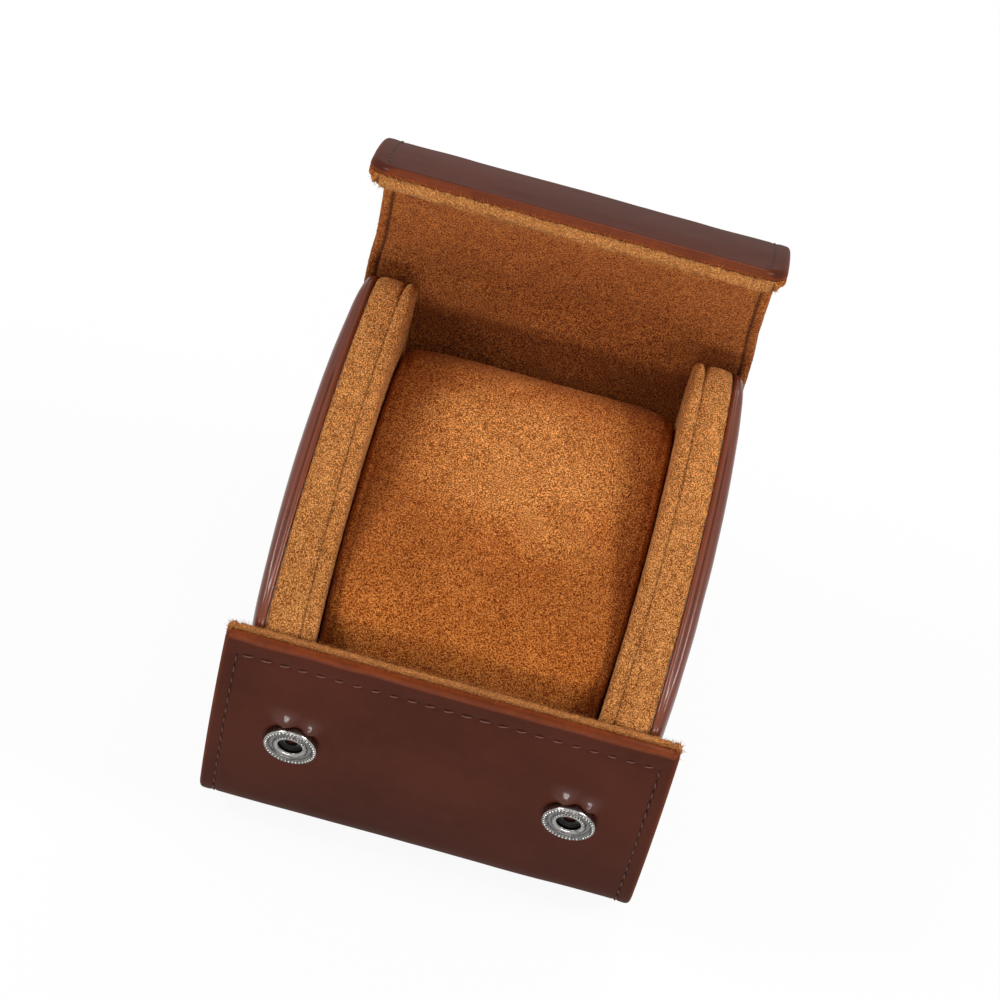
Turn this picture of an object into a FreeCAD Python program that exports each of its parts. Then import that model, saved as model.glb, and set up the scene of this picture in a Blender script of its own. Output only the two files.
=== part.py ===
import FreeCAD, Part
import math
import os

os.makedirs("parts", exist_ok=True)
doc = FreeCAD.newDocument("watch_travel_case")

# Every driving size of the case in millimetres, angles in degrees, shares without a unit.
# X runs across the case, Y from the front panel to the back, Z up from the table.
SIZES = {
    "front_width": 86.0,
    "rear_draw_in": 5.2,
    "lid_root_draw_in": 5.7,
    "flap_end_draw_in": 7.7,
    "case_depth": 83.4,
    "front_height": 64.5,
    "front_bow_radius": 260.0,
    "front_corner_radius": 14.0,
    "rear_corner_radius": 12.0,
    "strip_thickness": 3.0,
    "leather_thickness": 0.9,
    "board_thickness": 1.3,
    "turned_edge_width": 1.2,
    "turned_edge_cover": 2.3,
    "board_side_margin": 3.4,
    "board_end_margin": 3.0,
    "board_bend_gap": 1.0,
    "hinge_height": 83.2,
    "hinge_gap": 0.2,
    "lid_curve_radius": 186.0,
    "lid_root_angle": 76.4,
    "fold_rise": 1.7,
    "flap_corner_radius": 4.2,
    "snap_side_inset": 8.3,
    "snap_drop": 27.1,
    "snap_end_margin": 6.4,
    "snap_closed_gap": 3.0,
    "socket_radius": 5.2,
    "socket_height": 2.2,
    "socket_seat_depth": 0.25,
    "socket_hole_radius": 2.25,
    "socket_lip_width": 0.25,
    "spring_groove_depth": 0.65,
    "spring_inner_radius": 2.2,
    "spring_side_gap": 0.15,
    "spring_thickness": 0.45,
    "eyelet_radius": 1.8,
    "eyelet_flange_radius": 3.2,
    "eyelet_flange_thickness": 0.5,
    "eyelet_roll_thickness": 0.3,
    "stud_flange_radius": 3.9,
    "stud_flange_thickness": 0.6,
    "stud_neck_radius": 1.35,
    "stud_bulb_radius": 1.75,
    "stud_length": 1.9,
    "stud_neck_length": 0.35,
    "stud_bulb_round": 0.3,
    "cap_radius": 3.3,
    "cap_thickness": 0.45,
    "wall_lid_clearance": 0.5,
    "wall_front_radius": 6.0,
    "wall_rear_radius": 9.0,
    "suede_cover_thickness": 0.9,
    "side_leather_thickness": 0.9,
    "side_edge_cover": 1.6,
    "side_outer_inset_front": 4.3,
    "side_outer_inset_middle": 0.5,
    "side_outer_inset_rear": 1.2,
    "pad_outer_inset_front": 6.6,
    "pad_outer_inset_middle": 3.8,
    "pad_outer_inset_rear": 3.3,
    "seam_inset_front": 13.4,
    "seam_inset_middle": 9.7,
    "seam_inset_rear": 8.7,
    "inner_face_inset_front": 16.3,
    "inner_face_inset_middle": 12.4,
    "inner_face_inset_rear": 10.9,
    "pillow_side_gap": 1.2,
    "pillow_front_gap": 1.2,
    "pillow_rear_gap": 4.0,
    "pillow_rise": 6.5,
    "pillow_sink": 0.8,
    "pillow_end_draw": 5.0,
    "pillow_shoulder_share": 3.2,
    "pillow_cover_thickness": 1.1,
}
sheet = doc.addObject("Spreadsheet::Sheet", "sizes")
for row, (name, value) in enumerate(SIZES.items(), start=1):
    sheet.set("A%d" % row, name)
    sheet.set("B%d" % row, repr(value))
    sheet.setAlias("B%d" % row, name)
doc.recompute()


def size(name):
    return float(getattr(sheet, name))


def vec(x, y, z=0):
    return FreeCAD.Vector(x, y, z)


def line(a, b):
    return Part.LineSegment(vec(*a), vec(*b))


def arc(centre, radius, a, b):
    # The short arc about centre from point a to point b, as a three point arc.
    start = math.atan2(a[1] - centre[1], a[0] - centre[0])
    stop = math.atan2(b[1] - centre[1], b[0] - centre[0])
    turn = math.remainder(stop - start, 2 * math.pi)
    middle = start + turn / 2
    m = (centre[0] + radius * math.cos(middle), centre[1] + radius * math.sin(middle))
    return Part.Arc(vec(*a), vec(*m), vec(*b))


def polar(centre, radius, angle):
    # A point of a curve in the side view whose direction is angle degrees above forward.
    a = math.radians(angle)
    return (centre[0] + radius * math.sin(a), centre[1] + radius * math.cos(a))


# Side view frame, with y measured from the middle of the case.
half = size("case_depth") / 2
thick = size("strip_thickness")
mid = thick / 2
board_in = size("leather_thickness")
board_out = board_in + size("board_thickness")
cover = size("turned_edge_cover")
snap_z = size("front_height") - size("snap_drop")
front_half = size("front_width") / 2
rear_half = front_half - size("rear_draw_in")
root_half = front_half - size("lid_root_draw_in")
end_half = front_half - size("flap_end_draw_in")
bow_r = size("front_bow_radius")
front_y = -half
bow_rise = size("front_height") - snap_z
bow_depth = bow_r - math.sqrt(bow_r ** 2 - bow_rise ** 2)
bow_c = (front_y + bow_r - bow_depth, snap_z)
fc_r = size("front_corner_radius")
fc_z = fc_r
fc_c = (bow_c[0] - math.sqrt((bow_r - fc_r) ** 2 - (fc_z - snap_z) ** 2), fc_z)
rc_r = size("rear_corner_radius")
rc_c = (half - rc_r, rc_r)


def bow_point(depth, z):
    r = bow_r - depth
    return (bow_c[0] - math.sqrt(r ** 2 - (z - bow_c[1]) ** 2), z)


def corner_point(depth):
    # Where the front bow meets the front corner, at one depth in the strip.
    k = (bow_r - depth) / (bow_r - fc_r)
    return (bow_c[0] + (fc_c[0] - bow_c[0]) * k, bow_c[1] + (fc_c[1] - bow_c[1]) * k)


# Hinge of the lid at the rear top, fold of the flap over the front top edge.
hinge = (half - mid, size("hinge_height"))
curve_r = size("lid_curve_radius")
curve_m = curve_r - mid
inner_gap = size("snap_closed_gap")
flap_closed_c = (front_y - bow_depth - inner_gap + curve_r - thick, snap_z)
fold_z = size("front_height") + size("fold_rise")
fold_lift = math.asin((fold_z - snap_z) / curve_m)
fold_closed = (flap_closed_c[0] - curve_m * math.cos(fold_lift), fold_z)
chord = math.hypot(hinge[0] - fold_closed[0], hinge[1] - fold_closed[1])
lid_turn = math.degrees(2 * math.asin(chord / 2 / curve_m))
root_angle = size("lid_root_angle")
fold_angle = root_angle - lid_turn
stud_angle = fold_angle - math.degrees(fold_lift)
end_angle = fold_angle - math.degrees((fold_z - snap_z + size("snap_end_margin")) / curve_m)
curve_c = (
    hinge[0] - curve_m * math.sin(math.radians(root_angle)),
    hinge[1] - curve_m * math.cos(math.radians(root_angle)),
)
fold = polar(curve_c, curve_m, fold_angle)
rest_tilt = math.degrees(math.atan2(fold[1] - hinge[1], hinge[0] - fold[0]))
closed_tilt = math.degrees(math.atan2(fold_closed[1] - hinge[1], hinge[0] - fold_closed[0]))
lid_range = rest_tilt - closed_tilt
flap_range = stud_angle + 90 - lid_range
# Centre of the lid's curve once it is closed, over which the side walls are arched.
drop = math.sqrt(curve_m ** 2 - (chord / 2) ** 2)
ux = (hinge[0] - fold_closed[0]) / chord
uz = (hinge[1] - fold_closed[1]) / chord
arch_c = (
    (hinge[0] + fold_closed[0]) / 2 + uz * drop,
    (hinge[1] + fold_closed[1]) / 2 - ux * drop,
)
arch_r = curve_r - thick - size("wall_lid_clearance")
print("hinge", hinge, "fold", fold, "lid_range", lid_range, "flap_range", flap_range)
print("flap end", polar(curve_c, curve_r, end_angle), "stud angle", stud_angle)

SIDE_VIEW = FreeCAD.Placement(vec(0, 0, 0), FreeCAD.Rotation(vec(1, 1, 1), 120))
TOP_VIEW = FreeCAD.Placement()
FRONT_VIEW = FreeCAD.Placement(vec(0, 0, 0), FreeCAD.Rotation(vec(1, 0, 0), 90))
ROLES = {"side": "YZ_Plane", "top": "XY_Plane", "front": "XZ_Plane"}
VIEWS = {"side": SIDE_VIEW, "top": TOP_VIEW, "front": FRONT_VIEW}
nodes = []


def keep(obj, label):
    obj.Label = label
    nodes.append(obj)
    return obj


def plane(body, view):
    for feature in body.Origin.OriginFeatures:
        if getattr(feature, "Role", "") == ROLES[view]:
            return feature


def draw(body, name, view, geometry):
    s = body.newObject("Sketcher::SketchObject", name)
    s.AttachmentSupport = [(plane(body, view), "")]
    s.MapMode = "FlatFace"
    for g in geometry:
        s.addGeometry(g, False)
    return s


def both_ways(feature):
    if hasattr(feature, "SideType"):
        feature.SideType = "Symmetric"
    else:
        feature.Midplane = True


def padded_body(name, view, geometry, width):
    # A body whose one sketch is padded both ways by a width bound to the sheet.
    body = doc.addObject("PartDesign::Body", name)
    s = draw(body, name + "_outline", view, geometry)
    pad = body.newObject("PartDesign::Pad", name + "_pad")
    pad.Profile = s
    both_ways(pad)
    pad.setExpression("Length", width)
    s.Visibility = False
    body.Tip = pad
    doc.recompute()
    return body


def taper(body, view, a, b, wa, wb):
    # Trims both sides of a body to a half width that runs from wa at a to wb at b.
    far = 2 * size("front_width")
    geometry = []
    for s in (-1, 1):
        p = [(s * wa, a), (s * wb, b), (s * far, b), (s * far, a)]
        geometry += [line(p[i], p[(i + 1) % 4]) for i in range(4)]
    name = body.Name + "_taper"
    sk = draw(body, name + "_outline", view, geometry)
    cut = body.newObject("PartDesign::Pocket", name)
    cut.Profile = sk
    both_ways(cut)
    cut.setExpression("Length", "sizes.case_depth * 6")
    sk.Visibility = False
    body.Tip = cut
    doc.recompute()
    return body


def cut(base, tools, name):
    # Takes the tools out of the base, through one compound of them.
    group = doc.addObject("Part::Compound", name + "_tools")
    group.Links = tools
    c = doc.addObject("Part::Cut", name + "_cut")
    c.Base = base
    c.Tool = group
    doc.recompute()
    return c


def case_taper(body, inset):
    front = front_half - inset
    rear = rear_half - inset
    slope = (rear - front) / (2 * half)
    return taper(body, "top", -2 * half, 2 * half, front - slope * half, rear + slope * half)


lid_low = hinge[1]
lid_high = polar(curve_c, curve_r, end_angle)[1]


def lid_taper(body, inset):
    root = root_half - inset
    end = end_half - inset
    slope = (end - root) / (lid_high - lid_low)
    low = lid_low - half
    high = lid_high + half
    return taper(body, "front", low, high, root - slope * half, end + slope * half)


# The wrap of the case: one strip down the front, under and up the back.
top_z = size("front_height")
turn_z = top_z - size("turned_edge_width")


def strip_walk(depth, z_top, z_end):
    # Outline pieces along the strip at one depth, from the front top to the rear end.
    r1 = fc_r - depth
    r2 = rc_r - depth
    p0 = bow_point(depth, z_top)
    p1 = corner_point(depth)
    p2 = (fc_c[0], depth)
    p3 = (rc_c[0], depth)
    p4 = (half - depth, rc_c[1])
    p5 = (half - depth, z_end)
    return [
        (p0, p1, arc(bow_c, bow_r - depth, p0, p1)),
        (p1, p2, arc(fc_c, r1, p1, p2)),
        (p2, p3, line(p2, p3)),
        (p3, p4, arc(rc_c, r2, p3, p4)),
        (p4, p5, line(p4, p5)),
    ]


tip = (hinge[0], hinge[1] + mid)
outer = strip_walk(0, top_z, hinge[1])
middle = strip_walk(mid, turn_z, hinge[1])
inner = strip_walk(thick, top_z, hinge[1])
lip = (bow_point(cover, top_z), bow_point(cover, turn_z))
leather_loop = [p[2] for p in outer]
leather_loop += [arc(hinge, mid, (half, hinge[1]), tip), line(tip, hinge)]
leather_loop += [p[2] for p in middle]
leather_loop += [line(middle[0][0], lip[1]), arc(bow_c, bow_r - cover, lip[1], lip[0])]
leather_loop += [line(lip[0], outer[0][0])]
lining_loop = [p[2] for p in middle]
lining_loop += [line(hinge, tip), arc(hinge, mid, tip, (half - thick, hinge[1]))]
lining_loop += [p[2] for p in inner]
lining_loop += [line(inner[0][0], lip[0]), arc(bow_c, bow_r - cover, lip[0], lip[1])]
lining_loop += [line(lip[1], middle[0][0])]
margin = size("board_side_margin")
end_margin = size("board_end_margin")

board_top = top_z - end_margin
bend_gap = size("board_bend_gap")
board_low = corner_point(board_in)[1] + bend_gap
a0 = bow_point(board_in, board_low)
a1 = bow_point(board_in, board_top)
b0 = bow_point(board_out, board_low)
b1 = bow_point(board_out, board_top)
front_loop = [
    arc(bow_c, bow_r - board_in, a0, a1),
    line(a1, b1),
    arc(bow_c, bow_r - board_out, b1, b0),
    line(b0, a0),
]
front_board = keep(padded_body("front_board_body", "side", front_loop, "sizes.front_width"), "front_board")
case_taper(front_board, margin)
base_a = fc_c[0] + bend_gap
base_b = rc_c[0] - bend_gap
p = [(base_a, board_in), (base_b, board_in), (base_b, board_out), (base_a, board_out)]
base_loop = [line(p[i], p[(i + 1) % 4]) for i in range(4)]
base_board = keep(padded_body("base_board_body", "side", base_loop, "sizes.front_width"), "base_board")
case_taper(base_board, margin)
back_lo = rc_c[1] + bend_gap
back_hi = hinge[1] - 2 * end_margin
p = [(half - board_in, back_lo), (half - board_in, back_hi)]
p += [(half - board_out, back_hi), (half - board_out, back_lo)]
back_loop = [line(p[i], p[(i + 1) % 4]) for i in range(4)]
back_board = keep(padded_body("back_board_body", "side", back_loop, "sizes.front_width"), "back_board")
case_taper(back_board, margin)

wrap_leather = case_taper(padded_body("wrap_leather_body", "side", leather_loop, "sizes.front_width"), 0)
wrap_lining = case_taper(padded_body("wrap_lining_body", "side", lining_loop, "sizes.front_width"), 0)

# Lid and flap: two lengths of one curved strip, with the fold between them.
gap_angle = math.degrees((mid + size("hinge_gap")) / curve_m)


def strip_piece(ra, rb, hi, lo):
    # Closed outline between two radii of the lid's curve, from angle hi down to lo.
    a0 = polar(curve_c, ra, hi)
    a1 = polar(curve_c, ra, lo)
    b0 = polar(curve_c, rb, hi)
    b1 = polar(curve_c, rb, lo)
    return [
        arc(curve_c, ra, a0, a1),
        line(a1, b1),
        arc(curve_c, rb, b1, b0),
        line(b0, a0),
    ]


def fold_end(ra, rb, hi, outward):
    # A lid layer that ends in a quarter round about the fold.
    a0 = polar(curve_c, ra, hi)
    a1 = polar(curve_c, ra, fold_angle)
    b0 = polar(curve_c, rb, hi)
    b1 = polar(curve_c, rb, fold_angle)
    f = math.radians(fold_angle)
    nose = (fold[0] - mid * math.cos(f), fold[1] + mid * math.sin(f))
    if outward:
        return [
            arc(curve_c, ra, a0, a1),
            arc(fold, mid, a1, nose),
            line(nose, b1),
            arc(curve_c, rb, b1, b0),
            line(b0, a0),
        ]
    return [
        arc(curve_c, ra, a0, a1),
        line(a1, nose),
        arc(fold, mid, nose, b1),
        arc(curve_c, rb, b1, b0),
        line(b0, a0),
    ]


lid_from = root_angle - gap_angle
flap_from = fold_angle - gap_angle
r_in = curve_r - thick
per_mm = math.degrees(1 / curve_m)
turn_angle = end_angle + size("turned_edge_width") * per_mm
lid_board_loop = strip_piece(
    curve_r - board_in, curve_r - board_out, root_angle - 2 * end_margin * per_mm, fold_angle + 2 * end_margin * per_mm
)
lid_board = keep(padded_body("lid_board_body", "side", lid_board_loop, "sizes.front_width"), "lid_board")
lid_taper(lid_board, margin)
flap_board_loop = strip_piece(
    curve_r - board_in, curve_r - board_out, fold_angle - 2 * end_margin * per_mm, end_angle + end_margin * per_mm
)
flap_board = keep(padded_body("flap_board_body", "side", flap_board_loop, "sizes.front_width"), "flap_board_core")
lid_taper(flap_board, margin)
nodes.remove(flap_board)
lid_leather = lid_taper(
    padded_body("lid_leather_body", "side", fold_end(curve_r, curve_m, lid_from, True), "sizes.front_width"), 0
)
lid_lining = lid_taper(
    padded_body("lid_lining_body", "side", fold_end(curve_m, r_in, lid_from, False), "sizes.front_width"), 0
)
rc = curve_r - cover
o0 = polar(curve_c, curve_r, flap_from)
o1 = polar(curve_c, curve_r, end_angle)
c1 = polar(curve_c, rc, end_angle)
c2 = polar(curve_c, rc, turn_angle)
m2 = polar(curve_c, curve_m, turn_angle)
m0 = polar(curve_c, curve_m, flap_from)
i0 = polar(curve_c, r_in, flap_from)
i1 = polar(curve_c, r_in, end_angle)
flap_leather_loop = [
    arc(curve_c, curve_r, o0, o1),
    line(o1, c1),
    arc(curve_c, rc, c1, c2),
    line(c2, m2),
    arc(curve_c, curve_m, m2, m0),
    line(m0, o0),
]
flap_lining_loop = [
    arc(curve_c, curve_m, m0, m2),
    line(m2, c2),
    arc(curve_c, rc, c2, c1),
    line(c1, i1),
    arc(curve_c, r_in, i1, i0),
    line(i0, m0),
]
flap_leather = lid_taper(
    padded_body("flap_leather_body", "side", flap_leather_loop, "sizes.front_width"), 0
)
flap_lining = lid_taper(
    padded_body("flap_lining_body", "side", flap_lining_loop, "sizes.front_width"), 0
)


def rounding_tool(name):
    # The waste outside the rounded free corners of the flap, cut from its layers.
    r = size("flap_corner_radius")
    w = end_half
    a = math.radians(end_angle)
    end = polar(curve_c, curve_m, end_angle)
    tools = []
    for s in (-1, 1):
        far = 3 * r
        block = doc.addObject("Part::Box", "%s_block_%s" % (name, "left" if s < 0 else "right"))
        block.Length = far
        block.Width = far
        block.Height = far
        rod = doc.addObject("Part::Cylinder", "%s_rod_%s" % (name, "left" if s < 0 else "right"))
        rod.setExpression("Radius", "sizes.flap_corner_radius")
        rod.Height = 2 * far
        t = vec(0, -math.cos(a), math.sin(a))
        n = vec(0, -math.sin(a), -math.cos(a))
        turn = FreeCAD.Rotation(vec(1, 0, 0), t, n, "ZXY")
        corner = vec(s * w, end[0], end[1])
        centre = corner - t * r - vec(s * r, 0, 0)
        rod.Placement = FreeCAD.Placement(centre - n * far, turn)
        low = centre if s > 0 else centre - vec(far, 0, 0)
        block.Placement = FreeCAD.Placement(low - n * (far / 2), turn)
        waste = doc.addObject("Part::Cut", "%s_waste_%s" % (name, "left" if s < 0 else "right"))
        waste.Base = block
        waste.Tool = rod
        tools.append(waste)
    doc.recompute()
    return tools


# Snap fasteners: turned about their own axis, Z of the body points away from the leather.
def turned(name, profile):
    body = doc.addObject("PartDesign::Body", name)
    geometry = [line(profile[i], profile[(i + 1) % len(profile)]) for i in range(len(profile))]
    s = draw(body, name + "_outline", "front", geometry)
    rev = body.newObject("PartDesign::Revolution", name + "_turn")
    rev.Profile = s
    rev.ReferenceAxis = (s, ["V_Axis"])
    rev.Angle = 360.0
    s.Visibility = False
    body.Tip = rev
    doc.recompute()
    return body


sr = size("socket_radius")
sh = size("socket_height")
seat = size("socket_seat_depth")
hole = size("socket_hole_radius")
er = size("eyelet_radius")
ef = size("eyelet_flange_radius")
et = size("eyelet_flange_thickness")
groove = hole + size("spring_groove_depth")
lip_r = hole + size("socket_lip_width")
floor = 0.15 * sh
# Rim, valley and inner ring of a socket: shares of its radius and of its height.
rim_shares = ((0.92, 0.09), (1, 0.45), (1, 0.8), (0.965, 0.95), (0.92, 1), (0.85, 1), (0.8, 0.88))
valley_shares = ((0.76, 0.7), (0.64, 0.7), (0.6, 0.84), (0.57, 0.9))
socket_profile = [(er, -seat), (sr * rim_shares[0][0], -seat)]
socket_profile += [(sr * a, sh * b) for a, b in rim_shares + valley_shares]
socket_profile += [(lip_r, 0.9 * sh), (hole, 0.8 * sh), (hole, 0.64 * sh)]
socket_profile += [(groove, 0.64 * sh), (groove, floor), (er, floor)]
flange_top = floor + size("eyelet_roll_thickness")
spring_top = flange_top + size("spring_thickness")
spring_outer = groove - size("spring_side_gap")
reach = board_out
eyelet_profile = [
    (0.7 * er, -(reach + et)),
    (ef, -(reach + et)),
    (ef, -reach),
    (er, -reach),
    (er, floor),
    (lip_r, floor),
    (lip_r, flange_top),
    (0.7 * er, flange_top),
]
spring_profile = [
    (size("spring_inner_radius"), flange_top),
    (spring_outer, flange_top),
    (spring_outer, spring_top),
    (size("spring_inner_radius"), spring_top),
]
sf = size("stud_flange_radius")
st = size("stud_flange_thickness")
sn = size("stud_neck_radius")
sb = size("stud_bulb_radius")
sl = size("stud_length")
bulb = size("stud_bulb_round")
neck_top = st + size("stud_neck_length")
post_r = sn * 0.85
post_end = thick - size("leather_thickness")
stud_profile = [
    (0, -post_end),
    (post_r, -post_end),
    (post_r, -seat),
    (sf, -seat),
    (sf, 0.7 * st),
    (sf * 0.94, st),
    (sn, st),
    (sn, neck_top),
    (sb, neck_top + bulb),
    (sb, sl - bulb),
    (sb * 0.8, sl),
    (0, sl),
]
cap_profile = [
    (0, -post_end - size("cap_thickness")),
    (size("cap_radius"), -post_end - size("cap_thickness")),
    (size("cap_radius"), -post_end),
    (0, -post_end),
]

FACE_FRONT = FreeCAD.Rotation(vec(1, 0, 0), 90)
stud_seat = polar(curve_c, r_in, stud_angle)
STUD_TURN = FreeCAD.Rotation(vec(1, 0, 0), vec(0, 0, 0), vec(
    0, -math.sin(math.radians(stud_angle)), -math.cos(math.radians(stud_angle))), "ZXY")
case_tools = []
flap_tools = []
for side, sign in (("left", -1), ("right", 1)):
    x = sign * (end_half - size("snap_side_inset"))
    spot = FreeCAD.Placement(vec(x, front_y - bow_depth, snap_z), FACE_FRONT)
    socket = keep(turned(side + "_socket_body", socket_profile), side + "_snap_socket")
    eyelet = keep(turned(side + "_eyelet_body", eyelet_profile), side + "_socket_eyelet")
    spring = keep(turned(side + "_spring_body", spring_profile), side + "_socket_spring")
    for body in (socket, eyelet, spring):
        body.Placement = spot
    bore = doc.addObject("Part::Cylinder", side + "_bore")
    bore.setExpression("Radius", "sizes.eyelet_radius")
    bore.Height = reach + et + floor
    away_in = spot.Rotation.multVec(vec(0, 0, -(reach + et)))
    bore.Placement = FreeCAD.Placement(spot.Base + away_in, FACE_FRONT)
    case_tools += [socket, eyelet, bore]
    spot = FreeCAD.Placement(vec(x, stud_seat[0], stud_seat[1]), STUD_TURN)
    stud = keep(turned(side + "_stud_body", stud_profile), side + "_snap_stud")
    stud_cap = keep(turned(side + "_cap_body", cap_profile), side + "_stud_cap")
    for body in (stud, stud_cap):
        body.Placement = spot
    flap_tools += [stud, stud_cap]
doc.recompute()

corners = rounding_tool("flap_corner")
keep(cut(wrap_leather, [front_board, base_board, back_board] + case_tools, "wrap_leather"), "wrap_leather")
keep(cut(wrap_lining, [front_board, base_board, back_board] + case_tools, "wrap_lining"), "wrap_lining")
nodes.remove(front_board)
front_board.Label = "front_board_blank"
keep(cut(front_board, case_tools, "front_board"), "front_board")
keep(cut(lid_leather, [lid_board], "lid_leather"), "lid_leather")
keep(cut(lid_lining, [lid_board], "lid_lining"), "lid_lining")
keep(cut(flap_board, flap_tools, "flap_board"), "flap_board")
keep(cut(flap_leather, [flap_board] + flap_tools + corners, "flap_leather"), "flap_leather")
keep(cut(flap_lining, [flap_board] + flap_tools + corners, "flap_lining"), "flap_lining")


# Side walls: padded panels between the wrap's front, base and back.
def sketch_prism(name, view, geometry, length, offset):
    # An extruded outline in one view, starting at an offset along its normal.
    s = doc.addObject("Sketcher::SketchObject", name + "_outline")
    for g in geometry:
        s.addGeometry(g, False)
    normal = VIEWS[view].Rotation.multVec(vec(0, 0, 1))
    s.Placement = FreeCAD.Placement(normal * offset, VIEWS[view].Rotation)
    e = doc.addObject("Part::Extrusion", name)
    e.Base = s
    e.Dir = normal
    e.DirMode = "Custom"
    e.LengthFwd = length
    e.Solid = True
    return e


def meet(c1, r1, c2, r2, upper):
    # One crossing point of two circles, the upper or the lower one.
    dx = c2[0] - c1[0]
    dz = c2[1] - c1[1]
    d = math.hypot(dx, dz)
    a = (r1 ** 2 - r2 ** 2 + d ** 2) / (2 * d)
    h = math.sqrt(r1 ** 2 - a ** 2)
    px = c1[0] + a * dx / d
    pz = c1[1] + a * dz / d
    one = (px + h * dz / d, pz - h * dx / d)
    two = (px - h * dz / d, pz + h * dx / d)
    return max(one, two, key=lambda q: q[1]) if upper else min(one, two, key=lambda q: q[1])


def away(c, p, r):
    d = math.hypot(p[0] - c[0], p[1] - c[1])
    return (c[0] + (p[0] - c[0]) * r / d, c[1] + (p[1] - c[1]) * r / d)


def wall_outline(top_in):
    # The closed side view of a wall, its arched edge drawn in by top_in.
    rf = size("wall_front_radius")
    rr = size("wall_rear_radius")
    ra = arch_r - top_in
    rear_y = half - thick - top_in
    front_r = bow_r - thick - top_in
    cr_y = rear_y - rr
    cr = (cr_y, arch_c[1] + math.sqrt((ra - rr) ** 2 - (cr_y - arch_c[0]) ** 2))
    cf = meet(bow_c, front_r - rf, arch_c, ra - rf, True)
    t_rear = (rear_y, cr[1])
    t_top = away(arch_c, cr, ra)
    t_arch = away(arch_c, cf, ra)
    t_front = away(bow_c, cf, front_r)
    k = front_r / (bow_r - fc_r)
    fcr = fc_r - thick - top_in
    low_front = (bow_c[0] + (fc_c[0] - bow_c[0]) * k, bow_c[1] + (fc_c[1] - bow_c[1]) * k)
    floor_front = (fc_c[0], thick + top_in)
    floor_rear = (rc_c[0], thick + top_in)
    low_rear = (rear_y, rc_c[1])
    return [
        arc(bow_c, front_r, t_front, low_front),
        arc(fc_c, fcr, low_front, floor_front),
        line(floor_front, floor_rear),
        arc(rc_c, rc_r - thick - top_in, floor_rear, low_rear),
        line(low_rear, t_rear),
        arc(cr, rr, t_rear, t_top),
        arc(arch_c, ra, t_top, t_arch),
        arc(cf, rf, t_arch, t_front),
    ]


def plan_curve(name, sign, shift):
    # Three points of a wall boundary in plan, each set in from the edge of the wrap there.
    edge = (front_half, (front_half + rear_half) / 2, rear_half)
    inset = [size(name + "_inset_" + where) - shift for where in ("front", "middle", "rear")]
    x = [sign * (edge[i] - inset[i]) for i in range(3)]
    return [(x[0], -half), (x[1], 0), (x[2], half)]


def slab(name, a, b):
    # Upright slab between two curved boundaries in plan.
    geometry = [
        Part.Arc(vec(*a[0]), vec(*a[1]), vec(*a[2])),
        line(a[2], b[2]),
        Part.Arc(vec(*b[2]), vec(*b[1]), vec(*b[0])),
        line(b[0], a[0]),
    ]
    return sketch_prism(name, "top", geometry, 2 * size("hinge_height"), -half)


def common(name, a, b):
    c = doc.addObject("Part::Common", name)
    c.Base = a
    c.Tool = b
    doc.recompute()
    return c


blank_length = size("front_width")
for side, sign in (("left", -1), ("right", 1)):
    offset = 0 if sign > 0 else -blank_length
    full = sketch_prism(side + "_wall_outline", "side", wall_outline(0), blank_length, offset)
    drawn = sketch_prism(
        side + "_wall_core_outline", "side", wall_outline(size("suede_cover_thickness")), blank_length, offset
    )
    edge = sketch_prism(
        side + "_wall_board_outline", "side", wall_outline(size("side_edge_cover")), blank_length, offset
    )
    suede = size("suede_cover_thickness")
    skin = size("side_leather_thickness")
    c_inner = plan_curve("inner_face", sign, 0)
    c_under = plan_curve("inner_face", sign, suede)
    c_seam = plan_curve("seam", sign, 0)
    c_pad = plan_curve("pad_outer", sign, 0)
    c_board = plan_curve("side_outer", sign, -skin)
    c_outer = plan_curve("side_outer", sign, 0)
    foam = common(side + "_side_foam_solid", drawn, slab(side + "_foam_slab", c_under, c_pad))
    keep(foam, side + "_side_foam")
    panel = common(side + "_panel_blank", full, slab(side + "_panel_slab", c_inner, c_seam))
    keep(cut(panel, [foam], side + "_inner_panel"), side + "_inner_panel")
    band = common(side + "_band_blank", full, slab(side + "_band_slab", c_seam, c_pad))
    keep(cut(band, [foam], side + "_top_band"), side + "_top_band")
    board = common(side + "_side_board_solid", edge, slab(side + "_board_slab", c_pad, c_board))
    keep(board, side + "_side_board")
    hide = common(side + "_leather_blank", full, slab(side + "_leather_slab", c_pad, c_outer))
    keep(cut(hide, [board], side + "_side_leather"), side + "_side_leather")


# The watch pillow: a crowned form lofted across the case, its ends drawn in.
pillow_top = size("front_height") + size("pillow_rise")
# Places across the pillow as shares of its half width, and shares of the draw in there.
half_shares = ((0.45, 0.04), (0.8, 0.16), (0.94, 0.46), (1, 1))
station_shares = [(-a, b) for a, b in reversed(half_shares)] + [(0, 0)] + list(half_shares)


def pillow_section(x, inset):
    share = size("pillow_shoulder_share")
    y0 = thick + size("pillow_front_gap") - half + inset
    y1 = half - thick - size("pillow_rear_gap") - inset
    z0 = thick - size("pillow_sink") + inset
    z1 = pillow_top - inset
    cy = (y0 + y1) / 2
    cz = (z0 + z1) / 2
    points = []
    for i in range(24):
        a = 2 * math.pi * i / 24
        c = math.cos(a)
        s = math.sin(a)
        r = (abs(c) ** share + abs(s) ** share) ** (-1 / share)
        points.append(vec(x, cy + (y1 - y0) / 2 * c * r, cz + (z1 - z0) / 2 * s * r))
    curve = Part.BSplineCurve()
    curve.interpolate(points, PeriodicFlag=True)
    return Part.Wire([curve.toShape()])


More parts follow.
